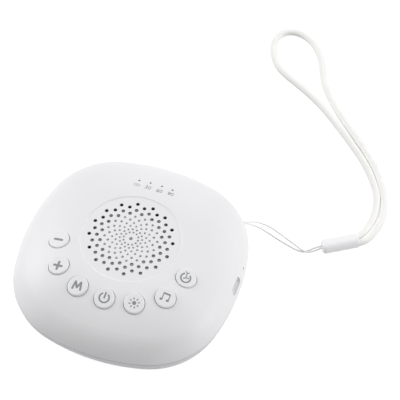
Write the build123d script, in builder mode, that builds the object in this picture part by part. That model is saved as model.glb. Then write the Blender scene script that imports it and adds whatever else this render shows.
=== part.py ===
from build123d import *
from math import acos, asin, atan2, cos, degrees, hypot, radians, sin, sqrt, tan
import os

# A palm-sized white noise machine with a wrist lanyard. Millimetres, +Z up, buttons towards -Y,
# charging socket towards +X, origin under the middle of the body at the height of its feet.

os.makedirs("parts", exist_ok=True)

# ---- casing: plan curve, heights and walls ----
half_width = 53.5  # middle to the flat of each side
side_radius = 95.0  # bulge of the four sides
corner_radius = 36.5
foot_stand = 1.0  # the base floats this far over the table
lower_radius = 16.6  # roll of the lower casing
lower_straight = 0.4  # upright band just under the seam
crown_height = 20.3  # seam to the flat of the top
crown_run = 32.0  # side to where the top turns flat
side_round = 15.5  # first roll above the seam
wall = 2.0
plate_lap = 2.0  # how far the rolled rim runs on into the flat plate
seam_step = 0.35  # the lower casing stands this far inside the upper
lap_clearance = 0.1  # between the lips of two casings
lip = 1.0  # thickness of a locating lip
lip_height = 2.0
ring_height = 11.0  # the clear ring, seam to its lower edge
ring_flange = 1.5

# ---- speaker opening ----
speaker_inset = 31.0  # side of the casing to the rim of the speaker under the grille
dish_margin = 0.9  # floor of the dish outside the rim of the speaker
dish_depth = 0.35
dish_flare = 60.0  # degrees that the edge of the dish leans outwards
grille_plate = 0.95  # thickness of the pierced plate under the dish
grille_play = 0.2  # its pocket round the speaker
grille_margin = 2.88  # outermost ring of holes inside the rim of the speaker
centre_hole = 1.85  # diameters of the grille holes
small_hole = 1.1
middle_hole = 1.3
large_hole = 1.8
first_ring = 3.5  # radius of the innermost ring
ring_pair_gap = 1.72  # between the two rings of a pair
ring_pairs = 5
holes_in_first_ring = 12
holes_in_ring = 16

# ---- buttons ----
button_diameter = 9.5
button_gap = 0.25  # all round, to the casing
button_step = 23.4  # degrees from one button to the next
button_insets = (19.9, 20.5, 22.0, 21.3)  # in from the side, middle button outwards
button_rise = 0.7  # the cap over the casing
button_edge = 0.6
button_travel = 0.4
collar_wall = 1.5
collar_lip = 0.4
flange_grip = 0.9  # flange under the collar
flange_thickness = 1.0
flange_play = 0.2
stem_radius = 1.6
switch_side = 6.0
switch_height = 3.5
plunger_radius = 1.7
plunger_gap = 0.1
plunger_rise = 1.5
switch_floor = 0.6

# ---- indicator lamps ----
lamp_inset = 19.7
lamp_first = 4.9  # degrees off the back middle
lamp_step = 9.3
lamp_hole = 0.8
lamp_length = 1.6
lamp_width = 0.8
lamp_height = 0.6
guide_radius = 1.2
guide_tip = 0.34
guide_air = 0.2

# ---- main board and what stands on it ----
socket_over_seam = 6.3  # middle of the charging socket
socket_width = 8.94
socket_height = 3.2
socket_round = 1.3
socket_length = 7.3
socket_wall = 0.3
socket_back = 0.9
socket_inset = 2.4  # mouth to the side of the casing
socket_gap = 0.2
tongue_width = 6.6
tongue_height = 0.7
tongue_inset = 0.9
board_inset = 3.4
board_thickness = 1.2
board_hole_margin = 2.0  # outside the rim of the speaker
board_screw_inset = 10.0
board_screw_angles = (13.2, 116.0)
board_boss_radius = 2.5
side_lamp_offset = 11.0
side_lamp_rise = 0.6
side_lamp_hole = 0.6
side_guide_radius = 0.45
side_lamp_inset = 6.1
plug_inset = 12.0
plug_angle = 158.0
plug_size = (6.0, 4.0, 4.0)
chip_inset = 11.5
chip_angles = (-79.0, -99.0, 75.0)
chip_sizes = ((5.0, 4.4, 1.2), (10.0, 6.2, 1.7), (5.0, 5.0, 1.5))

# ---- speaker ----
cloth_thickness = 0.3
cloth_margin = 0.1  # inside the rim of the speaker
gasket_thickness = 1.7
gasket_step = 0.5
flange_width = 3.5
basket_flange = 1.2
basket_depth = 10.0  # flange top to the seat of the magnet
basket_sheet = 0.8
basket_mouth_step = 0.5
terminal_size = (5.0, 5.0)
terminal_offset = 9.1
terminal_end = 15.4
terminal_thickness = 1.2
top_plate_thickness = 1.5
top_plate_step = 1.0  # inside the rim of the magnet
magnet_height = 4.0
magnet_radius = 12.5
magnet_hole_step = 1.4  # outside the gap of the coil
yoke_thickness = 1.3
pole_radius = 5.8
coil_play = 0.4  # inside the coil, to the pole
coil_wire = 0.4
coil_gap = 0.5  # outside the coil, to the top plate
coil_length = 6.5
coil_overlap = 3.5  # coil below the seat of the magnet
cone_rise = 5.2
cone_sheet = 0.6
cap_step = 0.8  # outside the coil
cap_rise = 2.2
cap_sheet = 0.4
surround_width = 2.24
surround_sheet = 0.35
surround_seat = 0.06  # to the basket
surround_gap = 0.3  # to the cone
speaker_boss_radius = 1.9
speaker_boss_gap = 0.5
washer_grip = 0.6  # washer under the rim of the speaker
washer_thickness = 0.8

# ---- inner frame, lamp strip and battery ----
frame_below_seam = 1.0
frame_thickness = 2.0
frame_inset = 6.3
frame_opening_margin = 0.5  # outside the rim of the speaker
frame_screw_inset = 9.67
frame_boss_radius = 3.25
skirt_inset = 13.5
skirt_wall = 1.4
skirt_foot = 6.5
strip_thickness = 0.3
strip_height = 5.0
strip_over_skirt_foot = 1.0
strip_lamp = (1.0, 2.8, 3.5)  # out from the strip, along it, tall
strip_lamp_spread = 10.0  # degrees about a side's own centre
cell_width = 34.0
cell_height = 8.0
cell_end_gap = 4.6  # to the bosses of the base screws
battery_round = 2.0
foam_thickness = 0.5
battery_rib = 1.2
battery_rib_height = 3.0
battery_gap = 0.4
base_screw_inset = 20.5
base_boss_radius = 3.4
base_boss_height = 3.0

# ---- wires ----
wire_diameter = 1.1
wire_spacing = 1.8
battery_wire_place = -8.1

# ---- feet, screws ----
foot_radius = 5.0
foot_inset = 21.5
foot_recess = 0.6
label_size = (30.0, 14.0)
label_depth = 0.3
reset_hole = 1.2
reset_inset = 33.0
base_screw = (1.4, 2.6, 1.6, 9.0)  # shank radius, head radius, head height, shank length
frame_screw = (1.3, 2.4, 1.5, 9.0)
board_screw = (1.0, 1.9, 1.2, 6.5)
speaker_screw_radius = 0.9
speaker_screw_length = 3.0
screw_gap = 0.05  # shank to its pilot hole
screw_through = 0.3  # shank to a hole it passes freely
driver_slot = (0.6, 0.5)  # width and depth of each arm of the cross

# ---- lanyard ----
anchor_below_seam = 4.0
anchor_width = 7.2
anchor_height = 4.4
anchor_inset = 1.6
anchor_depth = 5.2
anchor_wall = 0.7
anchor_back = 0.7
anchor_post_radius = 0.75
anchor_post_inset = 2.4
anchor_gap = 0.1
exit_spread = 0.35  # share of the turn round the post that is left between the strands where they leave
string_diameter = 0.7
strap_diameter = 3.5
bead_nose = (80.8, 48.6)
bead_angle = 32.5  # degrees round from +X
bead_length = 18.2
bead_width = 7.5
bead_height = 6.4
bead_bore = 1.0  # radius of the hole that the string goes in by
bead_bore_depth = 1.5
nose_round = 1.6
mouth_round = 0.5

# ---- worked out ----
base_z = foot_stand
arc_z = base_z + lower_radius
seam_z = arc_z + lower_straight
top_z = seam_z + crown_height
roll_inset = seam_step + lower_radius
ring_low_z = seam_z - ring_height
top_round = (crown_run**2 + crown_height**2 - 2 * crown_run * side_round) / (2 * (crown_height - side_round))
meet_angle = degrees(atan2(crown_run - side_round, top_round - crown_height))
side_reach = side_radius - half_width
corner_place = (sqrt(2 * (side_radius - corner_radius) ** 2 - side_reach**2) - side_reach) / 2
side_sweep = degrees(atan2(corner_place, corner_place + side_reach))
rim_plane = Plane(origin=(half_width, 0, 0), x_dir=(-1, 0, 0), z_dir=(0, 1, 0))

speaker_radius = half_width - speaker_inset
dish_radius = speaker_radius + dish_margin
board_hole = speaker_radius + board_hole_margin
frame_opening = speaker_radius + frame_opening_margin
cloth_radius = speaker_radius - cloth_margin
ring_pair_pitch = (speaker_radius - grille_margin - first_ring - ring_pair_gap) / (ring_pairs - 1)
well_radius = button_diameter / 2 + button_gap
collar_radius = well_radius + collar_wall
flange_radius = well_radius + flange_grip

basket_rim = speaker_radius - flange_width
basket_foot = magnet_radius + basket_sheet
coil_inner = pole_radius + coil_play
coil_outer = coil_inner + coil_wire
gap_outer = coil_outer + coil_gap
basket_mouth = gap_outer + basket_mouth_step
magnet_hole = gap_outer + magnet_hole_step
top_plate_radius = magnet_radius - top_plate_step
cap_radius = coil_outer + cap_step
surround_outer = surround_width / 2
surround_middle = basket_rim - surround_seat - surround_outer
cone_rim = surround_middle - surround_outer - surround_gap
speaker_screw_circle = speaker_radius + speaker_boss_gap + speaker_boss_radius
washer_radius = speaker_boss_gap + speaker_boss_radius + washer_grip
cell_length = 2 * (half_width - base_screw_inset - base_boss_radius - cell_end_gap)

plate_underside = top_z - wall
grille_underside = top_z - dish_depth - grille_plate
flange_top = grille_underside - cloth_thickness - gasket_thickness
flange_low = flange_top - basket_flange
magnet_seat = flange_top - basket_depth
socket_z = seam_z + socket_over_seam
board_top = socket_z - socket_height / 2
board_low = board_top - board_thickness
plunger_top = board_top + switch_height + plunger_rise
frame_top = seam_z - frame_below_seam
frame_low = frame_top - frame_thickness
base_floor = base_z + wall
boss_meet_z = base_floor + base_boss_height
anchor_z = seam_z - anchor_below_seam


def corner_at(quarter):
    return Vector(corner_place, corner_place).rotate(Axis.Z, 90 * quarter)


def outline(inset):
    """The face inside the body's plan curve, moved inwards by inset."""
    with BuildSketch(mode=Mode.PRIVATE) as plan:
        with BuildLine():
            for quarter in range(4):
                side_centre = Vector(-side_reach, 0).rotate(Axis.Z, 90 * quarter)
                first = 90 * quarter - side_sweep
                CenterArc(side_centre, side_radius - inset, first, 2 * side_sweep)
                CenterArc(corner_at(quarter), corner_radius - inset, first + 2 * side_sweep, 90 - 2 * side_sweep)
        make_face()
    return plan.sketch


def band(outer_inset, inner_inset):
    """The face between two plan curves."""
    with BuildSketch(mode=Mode.PRIVATE) as plan:
        add(outline(outer_inset))
        add(outline(inner_inset), mode=Mode.SUBTRACT)
    return plan.sketch


def outline_point(angle, inset):
    """The point of the inset plan curve at angle degrees from the front, towards +X."""
    turn = radians(abs(angle) % 90)
    if degrees(turn) > 45:
        turn = radians(90) - turn
    reach = side_radius - inset
    along = sqrt(reach**2 - (side_reach * sin(turn)) ** 2) - side_reach * cos(turn)
    if degrees(asin(along * sin(turn) / reach)) > side_sweep:
        across = corner_place * (cos(turn) - sin(turn))
        along = corner_place * (cos(turn) + sin(turn)) + sqrt((corner_radius - inset) ** 2 - across**2)
    return Vector(along * sin(radians(angle)), -along * cos(radians(angle)))


def crown_lean(inset):
    """How far the top's surface leans out at this inset, in degrees."""
    return degrees(asin((crown_run - inset) / top_round))


def crown_z(inset, depth=0.0):
    """Height of the top's outer surface, or of the surface that lies depth under it."""
    round_now = top_round - depth
    return top_z - top_round + sqrt(round_now**2 - (crown_run - inset) ** 2)


def rim_path():
    """The plan curve as a path that starts at the middle of the +X side."""
    with BuildLine(mode=Mode.PRIVATE) as path:
        CenterArc((-side_reach, 0), side_radius, 0, side_sweep)
        for quarter in range(4):
            start = 90 * quarter + side_sweep
            CenterArc(corner_at(quarter), corner_radius, start, 90 - 2 * side_sweep)
            side_centre = Vector(-side_reach, 0).rotate(Axis.Z, 90 * quarter + 90)
            sweep_now = side_sweep if quarter == 3 else 2 * side_sweep
            CenterArc(side_centre, side_radius, start + 90 - 2 * side_sweep, sweep_now)
    return path.wire()


def dome(depth):
    """Everything under the upper casing's surface, from depth below it down to the seam."""
    flat = crown_run + plate_lap
    with BuildPart(mode=Mode.PRIVATE) as body:
        with BuildSketch(rim_plane):
            with BuildLine():
                side = CenterArc((side_round, seam_z), side_round - depth, 180, meet_angle - 90)
                top = CenterArc((crown_run, top_z - top_round), top_round - depth, 90 + meet_angle, -meet_angle)
                Polyline(top @ 1, (flat, top_z - depth), (flat, seam_z), side @ 0)
            make_face()
        sweep(path=rim_path())
        with BuildSketch(Plane.XY.offset(seam_z)):
            add(outline(flat - plate_lap / 2))
        extrude(amount=crown_height - depth)
    return body.part


def finish(builder, name):
    """Label one sub-part and write it."""
    builder.part.label = name
    export_step(builder.part, f"parts/{name}.step")


def screw(z_seat, shank_radius, head_radius, head_height, shank_length):
    """A pan-head screw that points up, with its head under z_seat and a cross in the head."""
    width, depth = driver_slot
    with BuildPart(mode=Mode.PRIVATE) as body:
        with BuildSketch(Plane.XY.offset(z_seat - head_height)):
            Circle(head_radius)
        extrude(amount=head_height)
        fillet(body.faces().sort_by(Axis.Z)[0].edges(), head_height * 0.45)
        with BuildSketch(Plane.XY.offset(z_seat)):
            Circle(shank_radius)
        extrude(amount=shank_length)
        with BuildSketch(Plane.XY.offset(z_seat - head_height)):
            Rectangle(head_radius * 1.2, width)
            Rectangle(width, head_radius * 1.2)
        extrude(amount=depth, mode=Mode.SUBTRACT)
    return body.part


def cord(points, diameter, name):
    """A round cord along straight runs joined by arcs that are as large as the runs allow."""
    stops = [Vector(*point) for point in points]
    radii = []
    for before, here, after in zip(stops, stops[1:], stops[2:]):
        turn = radians((here - before).get_angle(after - here))
        shorter = min((here - before).length, (after - here).length)
        radii.append(0.45 * shorter / tan(turn / 2))
    with BuildPart(mode=Mode.PRIVATE) as body:
        with BuildLine():
            route = FilletPolyline(*stops, radius=radii)
        with BuildSketch(Plane(origin=route @ 0, z_dir=route % 0)):
            Circle(diameter / 2)
        sweep()
    section = 3.14159 * diameter**2 / 4
    length = route.length
    print(f"{name}: {length:.1f} mm, volume over section times length {body.part.volume / section / length:.4f}")
    print("  bends:", " ".join(f"{radius:.1f}" for radius in radii))
    return body.part


def mirrored(angles):
    return [angle * side for angle in angles for side in (-1, 1)]


# ---- places that several pieces share ----
button_names = ("minus", "plus", "mode", "power", "light", "music", "timer")
button_places = {}
for index, button_name in enumerate(button_names):
    steps_out = index - 3
    inset_now = button_insets[abs(steps_out)]
    button_places[button_name] = (outline_point(steps_out * button_step, inset_now), inset_now)
collar_low = crown_z(min(button_insets) - collar_radius, wall) - collar_lip
cap_flange_top = collar_low - flange_play
lamp_angles = mirrored((180 - lamp_first, 180 - lamp_first - lamp_step))
lamp_places = [outline_point(angle, lamp_inset) for angle in lamp_angles]
frame_screw_places = [outline_point(angle, frame_screw_inset) for angle in mirrored((45, 135))]
board_screw_places = [outline_point(angle, board_screw_inset) for angle in mirrored(board_screw_angles)]
base_screw_places = [outline_point(angle, base_screw_inset) for angle in (0, 90, 180, 270)]
foot_places = [outline_point(angle, foot_inset) for angle in mirrored((45, 135))]
plug_places = [outline_point(angle, plug_inset) for angle in (-plug_angle, plug_angle)]
anchor_plane = Plane(
    origin=Vector(0, 0, anchor_z) + outline_point(135, anchor_inset), x_dir=(-1, 1, 0), z_dir=(1, 1, 0)
)
mouth_x = half_width - socket_inset


# ---- upper casing ----
# One moulding: the domed top with its pierced plate, the wells of the buttons and the screw bosses.
with BuildPart() as inner_posts:
    with BuildSketch(Plane.XY.offset(collar_low)):
        for place, _ in button_places.values():
            with Locations(place):
                Circle(collar_radius)
    extrude(amount=top_z - collar_low)
    with BuildSketch(Plane.XY.offset(frame_top)):
        with Locations(*frame_screw_places):
            Circle(frame_boss_radius)
    extrude(amount=top_z - frame_top)
    with BuildSketch(Plane.XY.offset(board_top)):
        with Locations(*board_screw_places):
            Circle(board_boss_radius)
    extrude(amount=top_z - board_top)
    with BuildSketch(Plane.XY.offset(flange_low)):
        with PolarLocations(speaker_screw_circle, 3, start_angle=90):
            Circle(speaker_boss_radius)
    extrude(amount=top_z - flange_low)
    with BuildSketch(Plane.XY.offset(frame_top)):
        Rectangle(4 * half_width, 4 * half_width)
    extrude(amount=seam_z - frame_top, mode=Mode.SUBTRACT)
    add(dome(wall / 2), mode=Mode.INTERSECT)
    with BuildSketch(Plane.XY.offset(frame_top)):
        with Locations(*frame_screw_places):
            Circle(frame_boss_radius)
    extrude(amount=seam_z - frame_top)

with BuildPart() as upper_shell:
    with BuildSketch(rim_plane):
        with BuildLine():
            outer_side = CenterArc((side_round, seam_z), side_round, 180, meet_angle - 90)
            outer_top = CenterArc((crown_run, top_z - top_round), top_round, 90 + meet_angle, -meet_angle)
            flat_end = crown_run + plate_lap
            Polyline(
                outer_top @ 1, (flat_end, top_z), (flat_end, plate_underside), (crown_run, plate_underside)
            )
            CenterArc((crown_run, top_z - top_round), top_round - wall, 90, meet_angle)
            inner_side = CenterArc((side_round, seam_z), side_round - wall, 90 + meet_angle, 90 - meet_angle)
            Line(inner_side @ 1, outer_side @ 0)
        make_face()
    sweep(path=rim_path())
    with BuildSketch(Plane.XY.offset(plate_underside)):
        add(outline(crown_run + plate_lap / 2))
    extrude(amount=wall)
    add(inner_posts.part)
    # the shallow dish round the grille, and the pocket that thins the plate under it
    with BuildSketch(Plane.XY.offset(top_z - dish_depth)):
        Circle(dish_radius)
    extrude(amount=dish_depth + 1, taper=-dish_flare, mode=Mode.SUBTRACT)
    with BuildSketch(Plane.XY.offset(flange_top)):
        Circle(speaker_radius + grille_play)
    extrude(amount=grille_underside - flange_top, mode=Mode.SUBTRACT)
    # the grille: pairs of rings, the second of each pair set half a step round
    with BuildSketch(Plane.XY.offset(plate_underside - 1)):
        Circle(centre_hole / 2)
        for pair in range(ring_pairs):
            radius = first_ring + pair * ring_pair_pitch
            hole = (small_hole, small_hole, middle_hole, large_hole, large_hole)[min(pair, 4)]
            count = holes_in_first_ring if pair == 0 else holes_in_ring
            with PolarLocations(radius, count, start_angle=90):
                Circle(hole / 2)
            with PolarLocations(radius + ring_pair_gap, holes_in_ring, start_angle=90 + 180 / holes_in_ring):
                Circle((large_hole if pair == 3 else hole) / 2)
    extrude(amount=wall + 2, mode=Mode.SUBTRACT)
    # button wells, lamp pinholes and pilot holes
    with BuildSketch(Plane.XY.offset(collar_low)):
        for place, _ in button_places.values():
            with Locations(place):
                Circle(well_radius)
    extrude(amount=top_z - collar_low, mode=Mode.SUBTRACT)
    with BuildSketch(Plane.XY.offset(board_top)):
        with Locations(*lamp_places):
            Circle(lamp_hole / 2)
    extrude(amount=top_z - board_top, mode=Mode.SUBTRACT)
    with BuildSketch(Plane.XY.offset(frame_top)):
        with Locations(*frame_screw_places):
            Circle(frame_screw[0] + screw_gap)
    extrude(amount=frame_screw[3], mode=Mode.SUBTRACT)
    with BuildSketch(Plane.XY.offset(board_top)):
        with Locations(*board_screw_places):
            Circle(board_screw[0] + screw_gap)
    extrude(amount=board_screw[3], mode=Mode.SUBTRACT)
    with BuildSketch(Plane.XY.offset(flange_low)):
        with PolarLocations(speaker_screw_circle, 3, start_angle=90):
            Circle(speaker_screw_radius + screw_gap)
    extrude(amount=speaker_screw_length, mode=Mode.SUBTRACT)
    # the slot of the charging socket and the pinhole of the charging lamp
    with BuildSketch(Plane.YZ.offset(mouth_x - socket_length)):
        with Locations((0, socket_z)):
            RectangleRounded(
                socket_width + 2 * socket_gap, socket_height + 2 * socket_gap, socket_round + socket_gap
            )
        with Locations((side_lamp_offset, board_top + side_lamp_rise)):
            Circle(side_lamp_hole)
    extrude(amount=socket_length + 2 * socket_inset, mode=Mode.SUBTRACT)
finish(upper_shell, "upper_shell")

# ---- clear ring under the seam ----
with BuildPart() as light_ring:
    flange_z = seam_z - ring_flange
    inner_roll = lower_radius - wall
    low_turn = degrees(asin((arc_z - ring_low_z) / lower_radius))
    inner_turn = degrees(asin((arc_z - ring_low_z) / inner_roll))
    top_turn = degrees(asin((arc_z - flange_z) / inner_roll))
    lip_outer = side_round - sqrt((side_round - wall) ** 2 - lip_height**2) + lap_clearance
    with BuildSketch(rim_plane):
        with BuildLine():
            Line((seam_step, seam_z), (seam_step, arc_z))
            outer_roll = CenterArc((roll_inset, arc_z), lower_radius, 180, low_turn)
            roll_in = CenterArc((roll_inset, arc_z), inner_roll, 180 + inner_turn, top_turn - inner_turn)
            Line(outer_roll @ 1, roll_in @ 0)
            Polyline(
                roll_in @ 1,
                (lip_outer + lip, flange_z),
                (lip_outer + lip, seam_z + lip_height),
                (lip_outer, seam_z + lip_height),
                (lip_outer, seam_z),
                (seam_step, seam_z),
            )
        make_face()
    sweep(path=rim_path())
    with BuildSketch(anchor_plane):
        Rectangle(anchor_width + 2 * anchor_gap, anchor_height + 2 * anchor_gap)
    extrude(amount=anchor_depth, both=True, mode=Mode.SUBTRACT)
finish(light_ring, "light_ring")

# ---- base cover ----
with BuildPart() as base_cover:
    rim_in = roll_inset - inner_roll * cos(radians(inner_turn)) + lap_clearance
    lip_turn = degrees(acos((roll_inset - rim_in - lip) / inner_roll))
    with BuildSketch(rim_plane):
        with BuildLine():
            outer_roll = CenterArc((roll_inset, arc_z), lower_radius, 180 + low_turn, 90 - low_turn)
            roll_in = CenterArc((roll_inset, arc_z), inner_roll, 270, lip_turn - 90)
            Polyline(
                outer_roll @ 1,
                (roll_inset + plate_lap, base_z),
                (roll_inset + plate_lap, base_floor),
                (roll_inset, base_floor),
            )
            Polyline(
                roll_in @ 1,
                (rim_in + lip, ring_low_z + lip_height),
                (rim_in, ring_low_z + lip_height),
                (rim_in, ring_low_z),
                outer_roll @ 0,
            )
        make_face()
    sweep(path=rim_path())
    with BuildSketch(Plane.XY.offset(base_z)):
        add(outline(roll_inset + plate_lap / 2))
    extrude(amount=wall)
    # bosses of the base screws, and the rib that keeps the battery in place
    with BuildSketch(Plane.XY.offset(base_floor)):
        with Locations(*base_screw_places):
            Circle(base_boss_radius)
    extrude(amount=base_boss_height)
    with BuildSketch(Plane.XY.offset(base_floor)):
        rib = 2 * (battery_gap + battery_rib)
        Rectangle(cell_length + rib, cell_width + rib)
        Rectangle(cell_length + 2 * battery_gap, cell_width + 2 * battery_gap, mode=Mode.SUBTRACT)
        Rectangle(cell_length / 2, 2 * cell_width, mode=Mode.SUBTRACT)
        Rectangle(2 * cell_length, cell_width / 2, mode=Mode.SUBTRACT)
    extrude(amount=battery_rib_height)
    with BuildSketch(Plane.XY.offset(base_z)):
        with Locations(*base_screw_places):
            Circle(base_screw[1] + screw_through)
    extrude(amount=boss_meet_z - base_z - wall, mode=Mode.SUBTRACT)
    with BuildSketch(Plane.XY.offset(base_z)):
        with Locations(*base_screw_places):
            Circle(base_screw[0] + screw_through)
        with Locations((0, half_width - reset_inset)):
            Circle(reset_hole / 2)
    extrude(amount=boss_meet_z, mode=Mode.SUBTRACT)
    with BuildSketch(Plane.XY.offset(base_z)):
        with Locations(*foot_places):
            Circle(foot_radius + screw_gap)
    extrude(amount=foot_recess, mode=Mode.SUBTRACT)
    with BuildSketch(Plane.XY.offset(base_z)):
        RectangleRounded(*label_size, battery_round)
    extrude(amount=label_depth, mode=Mode.SUBTRACT)
finish(base_cover, "base_cover")

with BuildPart() as rubber_feet:
    with BuildSketch():
        with Locations(*foot_places):
            Circle(foot_radius)
    extrude(amount=foot_stand + foot_recess)
    fillet(rubber_feet.faces().group_by(Axis.Z)[0].edges(), foot_stand * 0.4)
finish(rubber_feet, "rubber_feet")

# ---- inner frame ----
with BuildPart() as inner_frame:
    with BuildSketch(Plane.XY.offset(frame_low)):
        add(outline(frame_inset))
        Circle(frame_opening, mode=Mode.SUBTRACT)
        with Locations(*frame_screw_places):
            Circle(frame_screw[0] + screw_through, mode=Mode.SUBTRACT)
    extrude(amount=frame_thickness)
    with BuildSketch(anchor_plane):
        Rectangle(anchor_width + 2 * anchor_gap, anchor_height + 2 * anchor_gap)
    extrude(amount=-anchor_depth - anchor_gap, mode=Mode.SUBTRACT)
    with BuildSketch(Plane.XY.offset(skirt_foot)):
        add(band(skirt_inset, skirt_inset + skirt_wall))
    extrude(amount=frame_low - skirt_foot)
    with BuildSketch(Plane.XY.offset(boss_meet_z)):
        with Locations(*base_screw_places):
            Circle(base_boss_radius)
    extrude(amount=frame_low - boss_meet_z)
    with BuildSketch(Plane.XY.offset(boss_meet_z)):
        with Locations(*base_screw_places):
            Circle(base_screw[0] + screw_gap)
    extrude(amount=base_screw[3], mode=Mode.SUBTRACT)
finish(inner_frame, "inner_frame")

# ---- night light: a lamp strip round the frame's skirt ----
with BuildPart() as light_strip:
    with BuildSketch(Plane.XY.offset(skirt_foot + strip_over_skirt_foot)):
        add(band(skirt_inset - strip_thickness, skirt_inset))
    extrude(amount=strip_height)
finish(light_strip, "light_strip")

lamp_out, lamp_along, lamp_tall = strip_lamp
strip_z = skirt_foot + strip_over_skirt_foot + strip_height / 2
with BuildPart() as strip_lamps:
    for quarter in range(4):
        side_centre = Vector(-side_reach, 0, strip_z).rotate(Axis.Z, 90 * quarter)
        reach = side_radius - skirt_inset + strip_thickness + lamp_out / 2
        with Locations(side_centre):
            with PolarLocations(reach, 3, start_angle=90 * quarter - strip_lamp_spread,
                                angular_range=2 * strip_lamp_spread, endpoint=True):
                Box(lamp_out, lamp_along, lamp_tall)
finish(strip_lamps, "strip_lamps")

# ---- battery ----
with BuildPart() as battery_foam:
    with BuildSketch(Plane.XY.offset(base_floor)):
        Rectangle(cell_length * 0.8, cell_width * 0.6)
    extrude(amount=foam_thickness)
finish(battery_foam, "battery_foam")

battery_z = base_floor + foam_thickness
with BuildPart() as battery:
    with BuildSketch(Plane.XY.offset(battery_z)):
        Rectangle(cell_length, cell_width)
    extrude(amount=cell_height)
    fillet(battery.edges().filter_by(Axis.X), battery_round)
finish(battery, "battery")

# ---- main board ----
with BuildPart() as main_board:
    with BuildSketch(Plane.XY.offset(board_low)):
        add(outline(board_inset))
        Circle(board_hole, mode=Mode.SUBTRACT)
        with Locations(*frame_screw_places):
            Circle(frame_boss_radius + screw_through, mode=Mode.SUBTRACT)
        with Locations(*board_screw_places):
            Circle(board_screw[0] + screw_through, mode=Mode.SUBTRACT)
    extrude(amount=board_thickness)
finish(main_board, "main_board")

with BuildPart() as board_chips:
    for angle, (length, width, height) in zip(chip_angles, chip_sizes):
        place = outline_point(angle, chip_inset)
        with BuildSketch(Plane.XY.offset(board_top)):
            with Locations(place):
                Rectangle(width, length)
        extrude(amount=height)
finish(board_chips, "board_chips")

with BuildPart() as switch_bodies:
    with BuildSketch(Plane.XY.offset(board_top)):
        for place, _ in button_places.values():
            with Locations(place):
                RectangleRounded(switch_side, switch_side, 0.5)
    extrude(amount=switch_height)
    with BuildSketch(Plane.XY.offset(board_top + switch_floor)):
        for place, _ in button_places.values():
            with Locations(place):
                Circle(plunger_radius + plunger_gap)
    extrude(amount=switch_height, mode=Mode.SUBTRACT)
finish(switch_bodies, "switch_bodies")

plug_length, plug_width, plug_height = plug_size
for plug_name, place in zip(("battery_plug", "speaker_plug"), plug_places):
    with BuildPart() as plug:
        with BuildSketch(Plane.XY.offset(board_top)):
            with Locations(place):
                Rectangle(plug_length, plug_width)
        extrude(amount=plug_height)
    finish(plug, plug_name)

# ---- buttons, each with the plunger of its switch ----
for button_name, (place, inset_now) in button_places.items():
    outward = Vector(1, 0).rotate(Axis.Z, degrees(atan2(place.Y, place.X)))
    lean = radians(crown_lean(inset_now))
    cap_z = crown_z(inset_now) + button_rise
    cap_face = Plane(
        origin=(place.X, place.Y, cap_z), z_dir=(outward.X * sin(lean), outward.Y * sin(lean), cos(lean))
    )
    with BuildPart() as button:
        with BuildSketch(Plane.XY.offset(cap_flange_top)):
            with Locations(place):
                Circle(button_diameter / 2)
        extrude(amount=top_z - cap_flange_top + button_diameter)
        split(bisect_by=cap_face, keep=Keep.BOTTOM)
        fillet(button.faces().sort_by(Axis.Z)[-1].edges(), button_edge)
        with BuildSketch(Plane.XY.offset(cap_flange_top - flange_thickness)):
            with Locations(place):
                Circle(flange_radius)
        extrude(amount=flange_thickness)
        with BuildSketch(Plane.XY.offset(plunger_top)):
            with Locations(place):
                Circle(stem_radius)
        extrude(amount=cap_flange_top - flange_thickness - plunger_top)
    finish(button, f"button_{button_name}")
    with BuildPart() as plunger:
        with BuildSketch(Plane.XY.offset(board_top + switch_floor + 1.5 * button_travel)):
            with Locations(place):
                Circle(plunger_radius)
        extrude(amount=switch_height + plunger_rise - switch_floor - 1.5 * button_travel)
    finish(plunger, f"plunger_{button_name}")

# ---- indicator lamps under their light guides ----
with BuildPart() as indicator_lamps:
    with BuildSketch(Plane.XY.offset(board_top)):
        with Locations(*lamp_places):
            Rectangle(lamp_length, lamp_width)
    extrude(amount=lamp_height)
finish(indicator_lamps, "indicator_lamps")

guide_low = board_top + lamp_height + guide_air
guide_high = crown_z(lamp_inset - guide_radius, wall) - guide_air
with BuildPart() as light_guides:
    with BuildSketch(Plane.XY.offset(guide_low)):
        with Locations(*lamp_places):
            Circle(guide_radius)
    extrude(amount=guide_high - guide_low)
    with BuildSketch(Plane.XY.offset(guide_high - 2 * guide_radius)):
        with BuildLine():
            rail = Polyline(*sorted(lamp_places, key=lambda place: place.X))
        trace(rail, 2 * guide_tip)
    extrude(amount=2 * guide_radius)
    with BuildSketch(Plane.XY.offset(guide_high)):
        with Locations(*lamp_places):
            Circle(guide_tip)
    extrude(amount=crown_z(lamp_inset) - guide_air - guide_high)
finish(light_guides, "light_guides")

side_lamp_x = half_width - side_lamp_inset
with BuildPart() as charge_lamp:
    with BuildSketch(Plane.XY.offset(board_top)):
        with Locations((side_lamp_x, side_lamp_offset)):
            Rectangle(lamp_width, lamp_length)
    extrude(amount=2 * side_lamp_rise)
finish(charge_lamp, "charge_lamp")

with BuildPart() as charge_guide:
    start_x = side_lamp_x + lamp_width / 2 + guide_air
    with BuildSketch(Plane.YZ.offset(start_x)):
        with Locations((side_lamp_offset, board_top + side_lamp_rise)):
            Circle(side_guide_radius)
    extrude(amount=mouth_x - start_x)
finish(charge_guide, "charge_guide")

# ---- charging socket ----
with BuildPart() as usb_socket:
    with BuildSketch(Plane.YZ.offset(mouth_x - socket_length)):
        with Locations((0, socket_z)):
            RectangleRounded(socket_width, socket_height, socket_round)
    extrude(amount=socket_length)
    with BuildSketch(Plane.YZ.offset(mouth_x - socket_length + socket_back)):
        with Locations((0, socket_z)):
            RectangleRounded(
                socket_width - 2 * socket_wall, socket_height - 2 * socket_wall, socket_round - socket_wall
            )
    extrude(amount=socket_length, mode=Mode.SUBTRACT)
finish(usb_socket, "usb_socket")

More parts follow.
